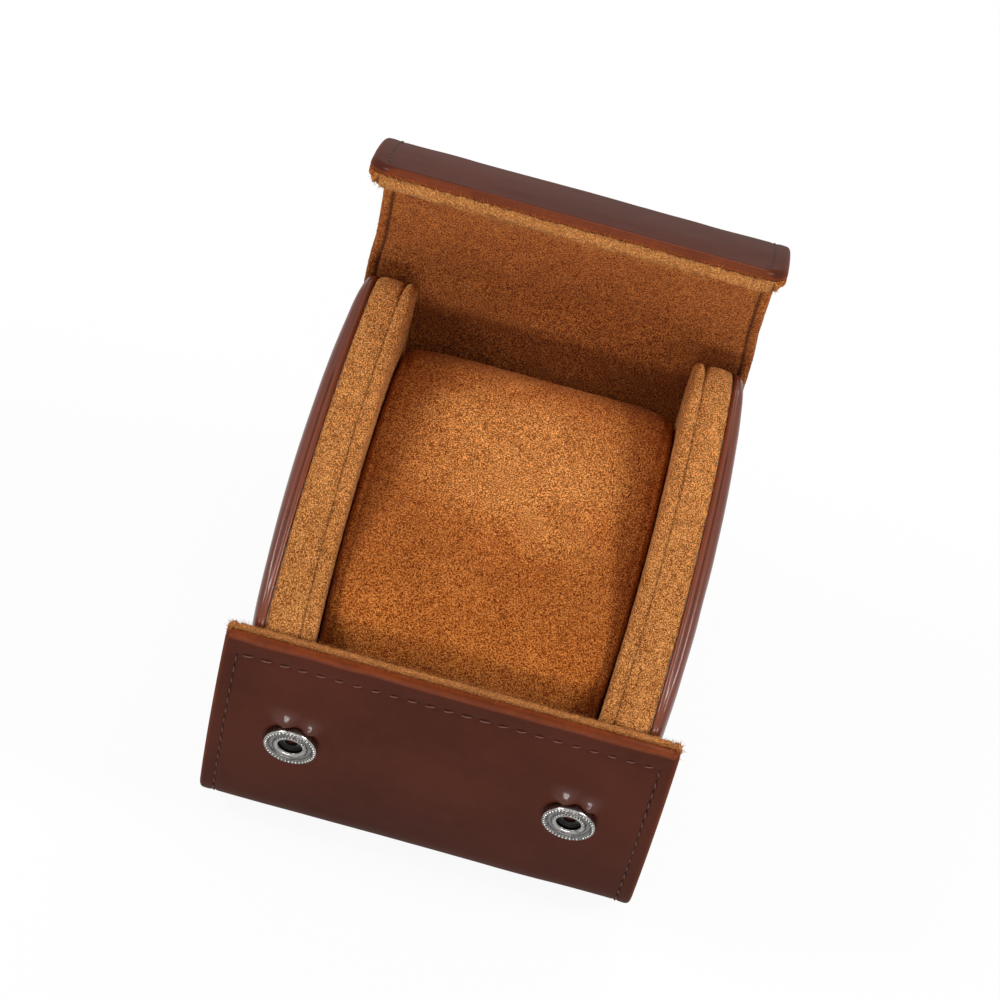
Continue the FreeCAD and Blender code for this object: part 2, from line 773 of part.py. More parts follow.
def pillow_form(name, skin):
    hw = front_half - size("inner_face_inset_front") - size("pillow_side_gap") - skin
    draw_in = size("pillow_end_draw")
    wires = [pillow_section(a * hw, b * draw_in + skin) for a, b in station_shares]
    loft = Part.makeLoft(wires, True, False)
    base = Part.makeBox(4 * hw, 4 * half, 2 * pillow_top, vec(-2 * hw, -2 * half, thick + skin))
    feature = doc.addObject("Part::Feature", name)
    feature.Shape = loft.common(base)
    feature.Placement = FreeCAD.Placement()
    return feature


core = keep(pillow_form("pillow_core_solid", size("pillow_cover_thickness")), "pillow_core")
whole = pillow_form("pillow_whole", 0)
keep(cut(whole, [core], "pillow_cover"), "pillow_cover")
doc.recompute()

for obj in doc.Objects:
    state = list(obj.State)
    if "Invalid" in state or "Error" in state:
        raise RuntimeError("%s is %s" % (obj.Label, state))
for obj in nodes:
    shape = obj.Shape
    if not shape.isValid() or shape.Volume <= 0:
        raise RuntimeError("%s has a bad shape" % obj.Label)
    solids = len(shape.Solids)
    print("%-20s solids %d volume %.1f faces %d" % (obj.Label, solids, shape.Volume, len(shape.Faces)))
for obj in nodes:
    obj.Shape.exportStep("parts/%s.step" % obj.Label)
print(len(nodes), "nodes")
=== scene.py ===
import math

import bmesh
import bpy
import numpy as np
from mathutils import Matrix, Vector


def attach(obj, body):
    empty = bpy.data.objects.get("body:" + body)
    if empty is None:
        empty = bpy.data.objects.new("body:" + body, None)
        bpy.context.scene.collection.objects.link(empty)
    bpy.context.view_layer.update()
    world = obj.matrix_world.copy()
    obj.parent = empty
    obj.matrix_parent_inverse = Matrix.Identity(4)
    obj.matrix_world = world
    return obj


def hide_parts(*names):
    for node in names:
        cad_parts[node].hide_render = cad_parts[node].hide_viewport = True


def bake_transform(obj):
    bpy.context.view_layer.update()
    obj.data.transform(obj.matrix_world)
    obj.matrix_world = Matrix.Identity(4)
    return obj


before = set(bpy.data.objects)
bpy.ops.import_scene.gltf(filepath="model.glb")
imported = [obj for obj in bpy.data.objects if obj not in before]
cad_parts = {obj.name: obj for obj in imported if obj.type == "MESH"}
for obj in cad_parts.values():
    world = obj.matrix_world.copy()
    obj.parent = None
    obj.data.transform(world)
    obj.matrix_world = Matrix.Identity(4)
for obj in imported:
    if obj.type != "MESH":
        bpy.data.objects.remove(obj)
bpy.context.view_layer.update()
MM = 0.001
SIDES = (("left", -1), ("right", 1))

# Sizes repeated from the CAD source, in millimetres and degrees.
HALF = 41.7
TOP = 64.5
THICK = 3.0
BOW_R = 260.0
SNAP_Z = 37.4
FRONT_R = 14.0
REAR_R = 12.0
HINGE_Z = 83.2
CURVE_R = 186.0
ROOT_ANGLE = 76.4
FOLD_ANGLE = 49.0531
END_ANGLE = 38.1219
STUD_ANGLE = 40.0726
FRONT_HALF = 43.0
REAR_HALF = 37.8
ROOT_HALF = 37.3
END_HALF = 35.3
LID_HIGH = 186.14
SNAP_X = 27.0
ARCH_C = (32.3615, -101.1334)
ARCH_R = 182.5
WALL_FRONT_R = 6.0
WALL_REAR_R = 9.0
INNER_FACE = (26.7, 28.0, 26.9)
SEAM = (29.6, 30.7, 29.1)
PAD_OUTER = (36.4, 36.6, 34.5)
SIDE_OUTER = (38.7, 39.9, 36.6)
PILLOW_Y = (-37.5, 34.7)
PILLOW_Z = (3.0, 71.0)

# Own sizes of the looks, in millimetres.
FACE_DEPTH = 1.55  # where leather and suede meet at the cut edge
LEATHER_THICK = 0.9  # away from the turned edge
TURNED_WIDTH = 3.3
FRONT_CORNER = 1.4
FLAP_CORNER = 5.2
SIDE_ROW = 2.8
TOP_ROW = 4.8
END_ROW = 2.6
STITCH_PITCH = 3.4
LEATHER_INSETS = (
    0, 0.05, 0.13, 0.25, 0.4, 0.6, 0.9, 1.3, 1.7, 2.1, 2.4, 2.6, 2.8, 3.0, 3.2, 3.5, 4.0, 4.8)
LEATHER_COLUMNS = 124
SUEDE_INSETS = (0, 0.08, 0.2, 0.35, 0.55, 0.8, 1.1, 1.4, 1.7, 2.0, 2.3, 2.6, 3.0, 3.4)
SUEDE_COLUMNS = 190
FREE_END = (0, 0.05, 0.13, 0.25, 0.4, 0.6, 0.85, 1.15, 1.5, 1.9, 2.3)
ARC_STEP, LINE_STEP = 0.25, 0.2
HINGE_BEND = 9.0  # how far from the hinge the strip's line is softened
FIBRE_LENGTH = (0.35, 1.4)
FIBRE_RADIUS = 0.05
THIRD_TURN = 2.0944
# The leather drawn up above each snap: place from its middle, widths across and up, height.
LUMPS = ((-1.9, 6.3, 1.9, 1.7, 1.46), (2.9, 5.3, 1.4, 1.6, 1.22))

BOW_C = (-HALF - (BOW_R - math.sqrt(BOW_R ** 2 - (TOP - SNAP_Z) ** 2)) + BOW_R, SNAP_Z)
FRONT_C = (BOW_C[0] - math.sqrt((BOW_R - FRONT_R) ** 2 - (FRONT_R - SNAP_Z) ** 2), FRONT_R)
REAR_C = (HALF - REAR_R, REAR_R)
MID_R = CURVE_R - THICK / 2
HINGE = (HALF - THICK / 2, HINGE_Z)
CURVE_C = (
    HINGE[0] - MID_R * math.sin(math.radians(ROOT_ANGLE)),
    HINGE[1] - MID_R * math.cos(math.radians(ROOT_ANGLE)),
)


# Noise and curves, the same on every run.
def hash3(i, j, k, seed):
    """Scattered numbers from -1 to 1, drawn from whole numbers."""
    h = (i * 374761393 + j * 668265263 + k * 1442695041 + seed * 1274126177) & 0xFFFFFFFF
    h = ((h ^ (h >> 13)) * 1274126177) & 0xFFFFFFFF
    h = (h ^ (h >> 16)) & 0xFFFFFFFF
    return h.astype(np.float64) / 4294967295.0 * 2 - 1


def noise3(p, scale, seed=0):
    """Smooth noise from -1 to 1 at points p (N, 3) in mm; scale is the size of one cell in mm."""
    q = np.asarray(p, float).reshape(-1, 3) / scale
    c = np.floor(q).astype(np.int64)
    f = q - c
    f = f * f * f * (f * (f * 6 - 15) + 10)
    total = np.zeros(len(q))
    for corner in np.ndindex(2, 2, 2):
        w = np.where(corner, f, 1 - f)
        total += w[:, 0] * w[:, 1] * w[:, 2] * hash3(*(c + corner).T, seed)
    return total


def waves(p, *parts):
    """A sum of noises, each given as (height, size of a cell, seed)."""
    return sum(height * noise3(p, scale, seed) for height, scale, seed in parts)


def smooth(a, b, x):
    t = np.clip((np.asarray(x, float) - a) / (b - a), 0, 1)
    return t * t * (3 - 2 * t)


def bump(x, centre, width):
    return np.exp(-(((np.asarray(x, float) - centre) / width) ** 2))


def unit(v):
    return v / np.linalg.norm(v)


def round_in(e, r):
    """How far an edge of radius r falls away at a distance e from the outline."""
    t = np.clip(r - e, 0, r)
    return r - np.sqrt(np.maximum(r * r - t * t, 0))


def inside(a, b, r):
    """Distance from a rounded corner, from the distances a and b to its two sides."""
    corner = r - np.hypot(r - a, r - b)
    return np.where((a < r) & (b < r), corner, np.minimum(a, b))


def through(three, y):
    """A plan curve given at the front, the middle and the rear of the case."""
    t = np.asarray(y, float) / HALF
    bow = (three[2] + three[0]) / 2 - three[1]
    return three[1] + (three[2] - three[0]) / 2 * t + bow * t * t


def on_circle(c, r, a):
    return np.stack([c[0] + r * np.cos(a), c[1] + r * np.sin(a)], 1)


# The strip: its outer line in the side view, from the front top edge down, under, up and over.
def arc_points(c, r, start, stop):
    return on_circle(c, r, np.linspace(start, stop, max(3, int(abs(stop - start) * r / ARC_STEP))))


def strip_line():
    """Evenly spaced points of the line, their directions, and where along it the hinge lies."""
    up = math.asin((TOP - SNAP_Z) / BOW_R)
    down = math.asin((SNAP_Z - FRONT_R) / (BOW_R - FRONT_R))
    root, end = (math.radians(90 - a) for a in (ROOT_ANGLE, END_ANGLE))
    y = np.arange(FRONT_C[0], REAR_C[0], ARC_STEP)
    z = np.arange(REAR_C[1], HINGE_Z, ARC_STEP)
    p = np.concatenate([
        arc_points(BOW_C, BOW_R, math.pi - up, math.pi + down),
        arc_points(FRONT_C, FRONT_R, math.pi + down, 1.5 * math.pi),
        np.stack([y, 0 * y], 1),
        arc_points(REAR_C, REAR_R, -math.pi / 2, 0),
        np.stack([0 * z + HALF, z], 1),
        arc_points(CURVE_C, CURVE_R, root, end),
    ])
    p = p[np.concatenate([[True], np.hypot(*(p[1:] - p[:-1]).T) > 1e-2])]
    s = np.concatenate([[0], np.cumsum(np.hypot(*(p[1:] - p[:-1]).T))])
    even = np.linspace(0, s[-1], int(s[-1] / LINE_STEP) + 1)
    p = np.stack([np.interp(even, s, p[:, i]) for i in (0, 1)], 1)
    hinge_at = even[np.argmin(np.hypot(p[:, 0] - HALF, p[:, 1] - HINGE_Z))]
    mix = smooth(0, 1, 1 - np.abs(even - hinge_at) / HINGE_BEND)[:, None]
    k = np.exp(-0.5 * (np.arange(-40, 41) * LINE_STEP / 2.6) ** 2)
    k /= k.sum()
    soft = np.stack([np.convolve(np.pad(p[:, i], 40, "edge"), k, "valid") for i in (0, 1)], 1)
    p = p * (1 - mix) + soft * mix
    t = np.gradient(p, axis=0)
    return even, p, t / np.hypot(t[:, 0], t[:, 1])[:, None], hinge_at


LINE_S, LINE_P, LINE_T, S_HINGE = strip_line()
S_END = LINE_S[-1]
S_FOLD = S_END - math.radians(FOLD_ANGLE - END_ANGLE) * CURVE_R
S_STUD = S_END - math.radians(STUD_ANGLE - END_ANGLE) * CURVE_R
S_CUT = (S_HINGE + S_FOLD) / 2
S_SNAP = math.asin((TOP - SNAP_Z) / BOW_R) * BOW_R


def line_at(s):
    on = np.clip(s, 0, LINE_S[-1])
    ty, tz = (np.interp(on, LINE_S, LINE_T[:, i]) for i in (0, 1))
    y, z = (np.interp(on, LINE_S, LINE_P[:, i]) for i in (0, 1))
    return y + (s - on) * ty, z + (s - on) * tz, ty, tz


def place(x, s, depth):
    """Frame points in mm: x across, s along the strip, depth below its outer face."""
    y, z, ty, tz = line_at(s)
    return np.stack([x, y - depth * tz, z + depth * ty], -1)


def half_width(s):
    y, z, _, _ = line_at(s)
    case = FRONT_HALF + (REAR_HALF - FRONT_HALF) * (y + HALF) / (2 * HALF)
    lid = ROOT_HALF + (END_HALF - ROOT_HALF) * (z - HINGE_Z) / (LID_HIGH - HINGE_Z)
    t = smooth(S_HINGE - 7, S_HINGE + 7, s)
    return case * (1 - t) + lid * t


# Stretches of the strip, each 1 in its place and 0 away from it.
def hem(s):
    """The thick turned edge at the end of the flap."""
    return 1 - smooth(1.5, 2.9, S_END - s)


def lip(s):
    """The turned edge at the top of the front panel."""
    return 1 - smooth(1.8, 5.0, s)


def on_lid(s):
    return smooth(S_HINGE - 24, S_HINGE - 16, s)


def on_flap(s):
    return smooth(S_FOLD - 4, S_FOLD + 4, s)


def stud_room(x, s, low=5.3, high=6.3):
    """0 where the rim of a closed socket meets the lining of the flap, 1 away from it."""
    return smooth(low, high, np.hypot(np.abs(x) - SNAP_X, s - S_STUD))


def link_new(name, data):
    obj = bpy.data.objects.new(name, data)
    bpy.context.scene.collection.objects.link(obj)
    return obj


def build(name, verts, faces, sharp=0, **attributes):
    """A smooth mesh from points in mm. Each point keeps its rest place, and so its texture."""
    verts = np.asarray(verts, np.float64).reshape(-1, 3)
    mesh = bpy.data.meshes.new(name)
    mesh.from_pydata((verts * MM).tolist(), [], [tuple(int(v) for v in f) for f in faces])
    mesh.update()
    rest = mesh.attributes.new("rest", "FLOAT_VECTOR", "POINT")
    rest.data.foreach_set("vector", verts.astype(np.float32).ravel())
    for key in ("edge", "nap", "groove"):
        values = attributes.get(key, np.zeros(len(verts)))
        a = mesh.attributes.new(key, "FLOAT", "POINT")
        a.data.foreach_set("value", np.asarray(values, np.float32).ravel())
    mesh.polygons.foreach_set("use_smooth", [True] * len(mesh.polygons))
    if sharp:
        mesh.set_sharp_from_angle(angle=math.radians(sharp))
    return link_new(name, mesh)


def ring_quads(rows, n, first=0, turn=False):
    """Quads between rows of n points each that follow one another round a closed ring."""
    faces = []
    for i in range(first, first + (rows - 1) * n, n):
        for j in range(n):
            k = (j + 1) % n
            a, b, c, d = i + j, i + k, i + n + k, i + n + j
            faces.append([b, a, d, c] if turn else [a, b, c, d])
    return faces


def tube(rows, n):
    """Faces of a closed tube: rings of n points and a flat cap at each end."""
    return ring_quads(rows, n) + [list(range(n))[::-1], [(rows - 1) * n + j for j in range(n)]]


def normals_of(verts, faces):
    """Area weighted vertex normals of quads and triangles."""
    verts = np.asarray(verts, float)
    total = np.zeros_like(verts)
    for size in (3, 4):
        f = np.array([q for q in faces if len(q) == size], np.int64)
        if not len(f):
            continue
        n = np.cross(verts[f[:, 2]] - verts[f[:, 0]], verts[f[:, -1]] - verts[f[:, 1]])
        for c in range(size):
            np.add.at(total, f[:, c], n)
    return total / np.maximum(np.linalg.norm(total, axis=1), 1e-12)[:, None]


def nap(verts, faces, amount, seed=3, coords=None):
    """Moves suede points along their normals by a fine granular noise, and gives it back too."""
    q = verts if coords is None else coords
    n = waves(q, (0.45, 0.95, seed), (0.75, 0.55, seed + 1), (0.12, 2.4, seed + 2))
    return verts + normals_of(verts, faces) * (n * amount)[:, None], n


def columns(width, insets, middle):
    """x across a strip, row by row: set distances from the sides, and even spacing between."""
    near = width[:, None] - np.array(insets)
    t = np.linspace(-1, 1, middle + 2)[1:-1]
    return np.concatenate([-near, t * near[:, -1:], near[:, ::-1]], 1)


def plate(rows, insets, middle, corners, depths, rounds, reliefs, paint):
    """A closed plate of the strip with rounded edges: points, faces, paint and places.

    corners are the radii at the first and last row; the pairs are outer face, inner face.
    """
    s = np.asarray(rows, float)
    w = half_width(s)
    ends = [(r, d) for r, d in zip(corners, (s - s[0], s[-1] - s)) if r]
    narrow = np.array(w)
    for r, d in ends:
        t = np.clip(r - d, 0, r)
        narrow = np.minimum(narrow, w - r + np.sqrt(np.maximum(r * r - t * t, 0)))
    x = columns(narrow, insets, middle)
    n, m = x.shape
    ss = np.repeat(s[:, None], m, 1)
    side = w[:, None] - np.abs(x)
    e = side.copy()
    for r, d in ends:
        e = np.minimum(e, inside(side, d[:, None], r))
    e = np.maximum(e, 0)
    outer = depths[0] + round_in(e, rounds[0](ss)) - reliefs[0](x, ss, e, side)
    inner = depths[1](e) - round_in(e, rounds[1]) + reliefs[1](x, ss, e, side)
    verts = np.concatenate([place(x, ss, d).reshape(-1, 3) for d in (outer, inner)])
    at = np.arange(n * m).reshape(n, m)
    q = np.stack([at[:-1, :-1], at[:-1, 1:], at[1:, 1:], at[1:, :-1]], -1).reshape(-1, 4)
    loop = np.concatenate([at[0], at[1:, -1], at[-1, -2::-1], at[-2:0:-1, 0]])
    after = np.roll(loop, -1)
    rim = np.stack([loop, after, after + n * m, loop + n * m], 1)
    faces = q[:, ::-1].tolist() + (q + n * m).tolist() + rim.tolist()
    flat = {k: np.tile(v.ravel(), 2) for k, v in (("x", x), ("s", ss), ("e", e), ("side", side))}
    flat["inner"] = np.repeat([0.0, 1.0], n * m)
    return verts, faces, paint(**flat), flat


def runs(*parts):
    """Row places along the strip: (start, stop, step) stretches joined up."""
    out = []
    for a, b, step in parts:
        out += list(np.linspace(a, b, max(1, int(round((b - a) / step))) + 1)[:-1])
    return np.array(out + [parts[-1][1]])


def edge_rows(a, b, step, start_free=False, stop_free=False):
    """Even rows with finer ones next to a free end."""
    head = [a + f for f in FREE_END] if start_free else [a]
    tail = [b - f for f in reversed(FREE_END)] if stop_free else [b]
    n = max(1, int((tail[0] - head[-1]) / step))
    return np.array(head + list(np.linspace(head[-1], tail[0], n + 1)[1:-1]) + tail)


def flat_points(x, s):
    return np.stack([x.ravel(), s.ravel(), 0 * x.ravel()], 1)


def turned_step(x, s, *_):
    """How much deeper leather and suede meet in the turned edges."""
    return 0.15 * hem(s) + 0.3 * lip(s)


# Leather of the strip.
def stitch_inset(s, side):
    """Signed distance inside the stitched line, zero on it."""
    top, end = s - TOP_ROW, S_END - s - END_ROW
    return np.minimum(inside(side - SIDE_ROW, top, 0.3), inside(side - SIDE_ROW, end, 1.8))


def folds(x, s):
    """Height and polish of the leather drawn up above the two snaps of the front panel."""
    height, polish = np.zeros_like(x), np.zeros_like(x)
    for cx in (-SNAP_X, SNAP_X):
        dx, dy = x - cx, S_SNAP - s
        d = np.hypot(dx, dy)
        up = smooth(-0.2, 0.8, np.where(d > 1e-6, dy / np.maximum(d, 1e-6), 0))
        height += 0.38 * bump(d, 5.7, 0.9) * (0.5 + 0.5 * up) - 0.1 * bump(d, 6.7, 0.5) * up
        for ax, ay, wx, wy, top in LUMPS:
            height += top * bump(dx, ax, wx) * bump(dy, ay, wy)
            polish += bump(dx, ax, wx * 1.1) * bump(dy, ay + 1.2, wy * 0.9)
        height -= 0.2 * bump(dx, 0.6, 0.9) * bump(dy, 8.0, 2.3)
        height += 0.16 * bump(dx, -0.3, 6.4) * bump(dy, 10.5, 3.1)
    return height, np.clip(polish, 0, 1)


def leather_depth(e):
    return np.where(e < TURNED_WIDTH, FACE_DEPTH, LEATHER_THICK)


def leather_round(s):
    return 0.7 + 0.25 * smooth(S_END - 14, S_END - 3, s) + 0.05 * (1 - smooth(3, 10, s))


def leather_out(x, s, e, side):
    q, flap = stitch_inset(s, side), on_flap(s)
    wave = waves(flat_points(x, s), (0.10, 17, 11), (0.05, 6, 12)).reshape(x.shape)
    roll = 0.22 * bump(s, 1.5, 1.1) * smooth(0, 1.2, side)
    line = 0.24 * bump(q, 0, 0.36) * (1 - flap) + 0.13 * bump(q, 0, 0.2) * flap
    beside = 0.07 * bump(q, -1.4, 1.1)
    return beside - line + wave * smooth(0.6, 4, e) + folds(x, s)[0] + roll


def leather_paint(x, s, e, side, inner):
    """Worn edges, painted shade in the sewing line and on the lower front, and the polished folds.
    """
    wear = noise3(flat_points(x, s), 4.0, 21)
    end_edge = 1 - smooth(0.2, 1.05, np.minimum(s, S_END - s) + 0.25 * wear)
    side_edge = 1 - smooth(0.1, 0.9, side)
    flap = on_flap(s)
    edge = np.maximum(end_edge * (0.8 - 0.3 * flap), 0.4 * side_edge) + inner * (e < 0.5) * 0.6
    q = stitch_inset(s, side)
    # Painted shade in the sewing groove.
    groove = bump(q, 0, 0.35) * (1 - flap) + 1.3 * bump(q, 0, 0.17) * flap
    groove = groove * (1 - inner) * 0.45
    groove = np.where(s - TOP_ROW < side - SIDE_ROW, 0.2, 1.0) * groove
    # Painted shade: the lower front is made darker towards the bottom.
    low = (1 - smooth(62, 78, s)) * (0.15 + 0.28 * smooth(22, 58, s)) * (1 - inner)
    polish = folds(x, s)[1] * (1 - inner)
    return {"edge": np.clip(edge * (0.9 + 0.3 * wear), 0, 1), "groove": np.maximum(groove, low),
            "nap": polish}


def leather_plate(name, rows, corners):
    verts, faces, paint, _ = plate(
        rows, LEATHER_INSETS, LEATHER_COLUMNS, corners, (0.0, leather_depth),
        (leather_round, 0.25), (leather_out, turned_step), leather_paint)
    return build(name, verts, faces, sharp=55, **paint)


# Suede lining of the strip.
def suede_in(x, s, e, side):
    sewn_ends = on_lid(s) + (1 - smooth(50, 60, s))
    wave = waves(flat_points(x, s), (0.12, 14, 31), (0.06, 5, 32)).reshape(x.shape)
    turn = -0.55 * (bump(side, 1.9, 0.32) * sewn_ends) + 0.06 * bump(side, 0.95, 0.6) * sewn_ends
    turned = hem(s) * stud_room(x, s)
    thin = 0.13 * smooth(S_FOLD, S_FOLD + 6, s) * (1 - turned)
    return wave * smooth(0.5, 3, e) + turn + 0.75 * turned + 0.12 * lip(s) - thin


def suede_paint(x, s, e, side, inner):
    # Painted shade in the sewn groove along the sides of the lid lining.
    sewn = bump(side, 1.9, 0.3) * on_lid(s) * inner
    # Painted shade: the lid lining darker towards the hinge, behind the pillow.
    low = 0.26 * on_lid(s) * (1 - smooth(S_HINGE - 8, S_HINGE + 26, s)) * inner
    # The cut ends are lighter: partly lifted nap, partly painted light.
    ends = np.maximum(1 - smooth(0.5, 2.0, S_END - s), 1 - smooth(0.3, 1.5, s))
    return {"groove": np.maximum(sewn, low), "edge": ends}


def fibres(verts, faces, chosen):
    """Loose fibres on some points of a cut suede edge: thin closed spikes that lean every way.

    Returns all points and faces, and which of the first points each point belongs to.
    """
    normal = normals_of(verts, faces)
    points, spikes, roots = [], [], []
    for i in chosen:
        key = np.array([i])
        h = [float(hash3(key, key * 7, key * 3, seed)[0]) for seed in (93, 94, 95, 96)]
        d = unit(normal[i] + 0.75 * np.array(h[:3]))
        a = unit(np.cross(d, (0.3, 0.5, 0.8)))
        b = np.cross(d, a)
        length = FIBRE_LENGTH[0] + (FIBRE_LENGTH[1] - FIBRE_LENGTH[0]) * (0.5 + 0.5 * h[3]) ** 2
        root = verts[i] - d * 0.08
        for k in range(3):
            c, s = math.cos(k * THIRD_TURN), math.sin(k * THIRD_TURN)
            points.append(root + a * (FIBRE_RADIUS * c) + b * (FIBRE_RADIUS * s))
        points.append(root + d * length + a * (0.12 * h[0]) + b * (0.12 * h[1]))
        k = len(verts) + len(points) - 4
        spikes += [[k, k + 1, k + 3], [k + 1, k + 2, k + 3], [k + 2, k, k + 3], [k + 2, k + 1, k]]
        roots += [i] * 4
    source = np.concatenate([np.arange(len(verts)), roots])
    return np.concatenate([verts, np.array(points)]), faces + spikes, source


def suede_plate(name, rows, corners):
    verts, faces, paint, at = plate(
        rows, SUEDE_INSETS, SUEDE_COLUMNS, corners, (FACE_DEPTH, lambda e: THICK),
        (lambda s: 0.12, 0.6), (lambda *at: -turned_step(*at), suede_in), suede_paint)
    e, s, lined = at["e"], at["s"], at["inner"]
    seen = np.maximum(lined, (e < 0.6) * 1.0)
    free = (e < 1.3) * np.maximum(1 - smooth(1, 4, s), smooth(S_END - 4, S_END - 1, s))
    verts, n = nap(verts, faces, 0.07 * (seen * (1 + 0.9 * free)))
    tuft = hash3(*np.floor(verts / 0.33).astype(np.int64).T, 77)
    verts = verts + normals_of(verts, faces) * (0.07 * free * tuft)[:, None]
    index = np.arange(len(verts))
    pressed = (lined > 0.5) & (stud_room(at["x"], s, 7.0, 7.5) < 0.5)
    loose = (free * (e < 1.0) > 0.5) & (hash3(index, index, index, 91) > -0.25)
    verts, faces, source = fibres(verts, faces, index[loose & ~pressed])
    paint = {key: value[source] for key, value in paint.items()}
    return build(name, verts, faces, sharp=65, nap=n[source], **paint)


wrap_leather = leather_plate("wrap_leather_skin", np.concatenate([
    edge_rows(0, 62, 0.55, start_free=True),
    runs((62, 78, 1.0), (78, 128, 2.5), (128, 150, 1.2), (150, S_CUT, 0.9))[1:],
]), (FRONT_CORNER, 0))
flap_leather = leather_plate(
    "flap_leather_skin", edge_rows(S_CUT, S_END, 0.8, stop_free=True), (0, FLAP_CORNER))
wrap_suede = suede_plate("wrap_suede_lining", np.concatenate([
    edge_rows(-0.8, 14, 0.45, start_free=True),
    runs((14, 24, 0.8), (24, 62, 1.6), (62, 80, 1.2), (80, 128, 3.0), (128, 172, 1.4),
         (172, S_CUT, 0.42))[1:],
]), (FRONT_CORNER, 0))
flap_suede = suede_plate(
    "flap_suede_lining", edge_rows(S_CUT, S_END + 0.2, 0.42, stop_free=True), (0, FLAP_CORNER))


# Stitches: short slanted threads that sit in the groove, one after another. Their kinds are the
# sides, the top of the front and the end of the flap. A look is depth, thread and hole radius.
EIGHT = [(math.cos(a * math.pi / 4), math.sin(a * math.pi / 4)) for a in range(8)]
THREAD_RINGS = ((-0.5, 0.3, -0.22), (-0.42, 0.8, -0.07), (-0.2, 1.0, 0.02), (0, 1.05, 0.04),
                (0.2, 1.0, 0.02), (0.42, 0.8, -0.07), (0.5, 0.3, -0.22))
STITCH_SHARE = (0.48, 0.56, 0.42)
STITCH_LOOK, FLAP_LOOK = ((0.08, 0.18, 0.34), (-0.06, 0.165, 0.28)), (0.19, 0.12, 0.14)
# How far threads are darkened towards black, by row and on the lid: painted shade on threads sunk
# in the groove.
STITCH_DARK, LID_DARK = (0.6, 0.42), 0.75


def thread(centre, along, across, up, length, radius, lean):
    """One stitch as a small rounded bar; directions are unit vectors, sizes in mm."""
    direction = along * math.cos(lean) + across * math.sin(lean)
    other = np.cross(up, direction)
    verts = [centre + direction * (t * length) + other * (c * radius * k)
             + up * (s * radius * k * 0.8 + h) for t, k, h in THREAD_RINGS for c, s in EIGHT]
    return verts, tube(len(THREAD_RINGS), 8)


def needle_hole(centre, along, across, up, radius):
    """A dark lens in the groove that paints the shade inside a needle hole, low and closed."""
    ring = [centre + along * (c * radius) + across * (s * radius * 0.75) for c, s in EIGHT]
    faces = [[0, 1 + a, 1 + (a + 1) % 8] for a in range(8)]
    faces += [[9, 1 + (a + 1) % 8, 1 + a] for a in range(8)]
    return [centre + up * 0.05] + ring + [centre - up * 0.3], faces


def stitched_path():
    """The stitched line as (x, s, kind): both sides, the top of the front, the end of the flap."""
    length = S_END - END_ROW - 1.8 - TOP_ROW
    n = int(length / STITCH_PITCH)
    s = TOP_ROW + (np.arange(n) + 0.5) * length / n
    path = [(sign * (half_width(v) - SIDE_ROW), v, 0) for _, sign in SIDES for v in s]
    for row, reach, kind in ((TOP_ROW, 0.4, 1), (S_END - END_ROW, 2.2, 2)):
        w = float(half_width(row)) - SIDE_ROW - reach
        n = int(2 * w / STITCH_PITCH)
        path += [(-w + (i + 0.5) * 2 * w / n, row, kind) for i in range(n)]
    return path


def stitches(name, s_from, s_to):
    verts, faces, dark = [], [], []

    def add(piece, shade):
        k = len(verts)
        verts.extend(piece[0])
        faces.extend([k + a for a in q] for q in piece[1])
        dark.extend([shade] * len(piece[0]))

    for x, s, kind in stitched_path():
        if not s_from <= s < s_to:
            continue
        _, _, ty, tz = (float(v) for v in line_at(s))
        ways = [np.array([0, ty, tz]), np.array([1.0, 0, 0])]
        along, across = ways[::-1] if kind else ways
        up = np.array([0, tz, -ty])
        depth, radius, hole = FLAP_LOOK if s > S_FOLD else STITCH_LOOK[kind]
        share = STITCH_SHARE[kind] * (1 + 0.12 * math.sin(9.7 * s + 5.3 * x))
        lean = (-0.17 if kind else 0.1) + 0.08 * math.sin(4.1 * x + 7.7 * s)
        add(thread(place(x, s, depth), along, across, up, STITCH_PITCH * share, radius, lean),
            STITCH_DARK[kind] if s < S_CUT else LID_DARK)
        # Needle holes get full painted shade.
        spot = place(x, s, 0.2) + along * STITCH_PITCH * 0.37 * (1 if kind else -1)
        add(needle_hole(spot, along, across, up, hole), 1.0)
    return build(name, verts, faces, groove=dark)


case_stitches = stitches("case_stitching", 0, S_CUT)
flap_stitches = stitches("flap_stitching", S_CUT, S_END + 1)


# Side walls.
def meet(c1, r1, c2, r2):
    """The upper of the two points where two circles meet."""
    dx, dz = c2[0] - c1[0], c2[1] - c1[1]
    d = math.hypot(dx, dz)
    a = (r1 ** 2 - r2 ** 2 + d ** 2) / (2 * d)
    h = math.sqrt(r1 ** 2 - a ** 2)
    px, pz = c1[0] + a * dx / d, c1[1] + a * dz / d
    both = [(px + h * dz / d, pz - h * dx / d), (px - h * dz / d, pz + h * dx / d)]
    return max(both, key=lambda q: q[1])


def away(c, p, r):
    """The point at a distance r from c in the direction of p."""
    d = math.hypot(p[0] - c[0], p[1] - c[1])
    return (c[0] + (p[0] - c[0]) * r / d, c[1] + (p[1] - c[1]) * r / d)


def short_arc(c, r, a, b, n):
    start = math.atan2(a[1] - c[1], a[0] - c[0])
    turn = math.remainder(math.atan2(b[1] - c[1], b[0] - c[0]) - start, 2 * math.pi)
    return on_circle(c, r, start + turn * np.arange(n) / n)


def straight(a, b, n):
    t = (np.arange(n) / n)[:, None]
    return np.array(a) * (1 - t) + np.array(b) * t


WALL_COUNTS = (30, 8, 16, 8, 44, 28, 168, 18)
WALL_CORE = 7.5  # inset of the outline that the middle of a face is drawn in from
BACK_SCALES = (0.3, 0.6, 0.85)


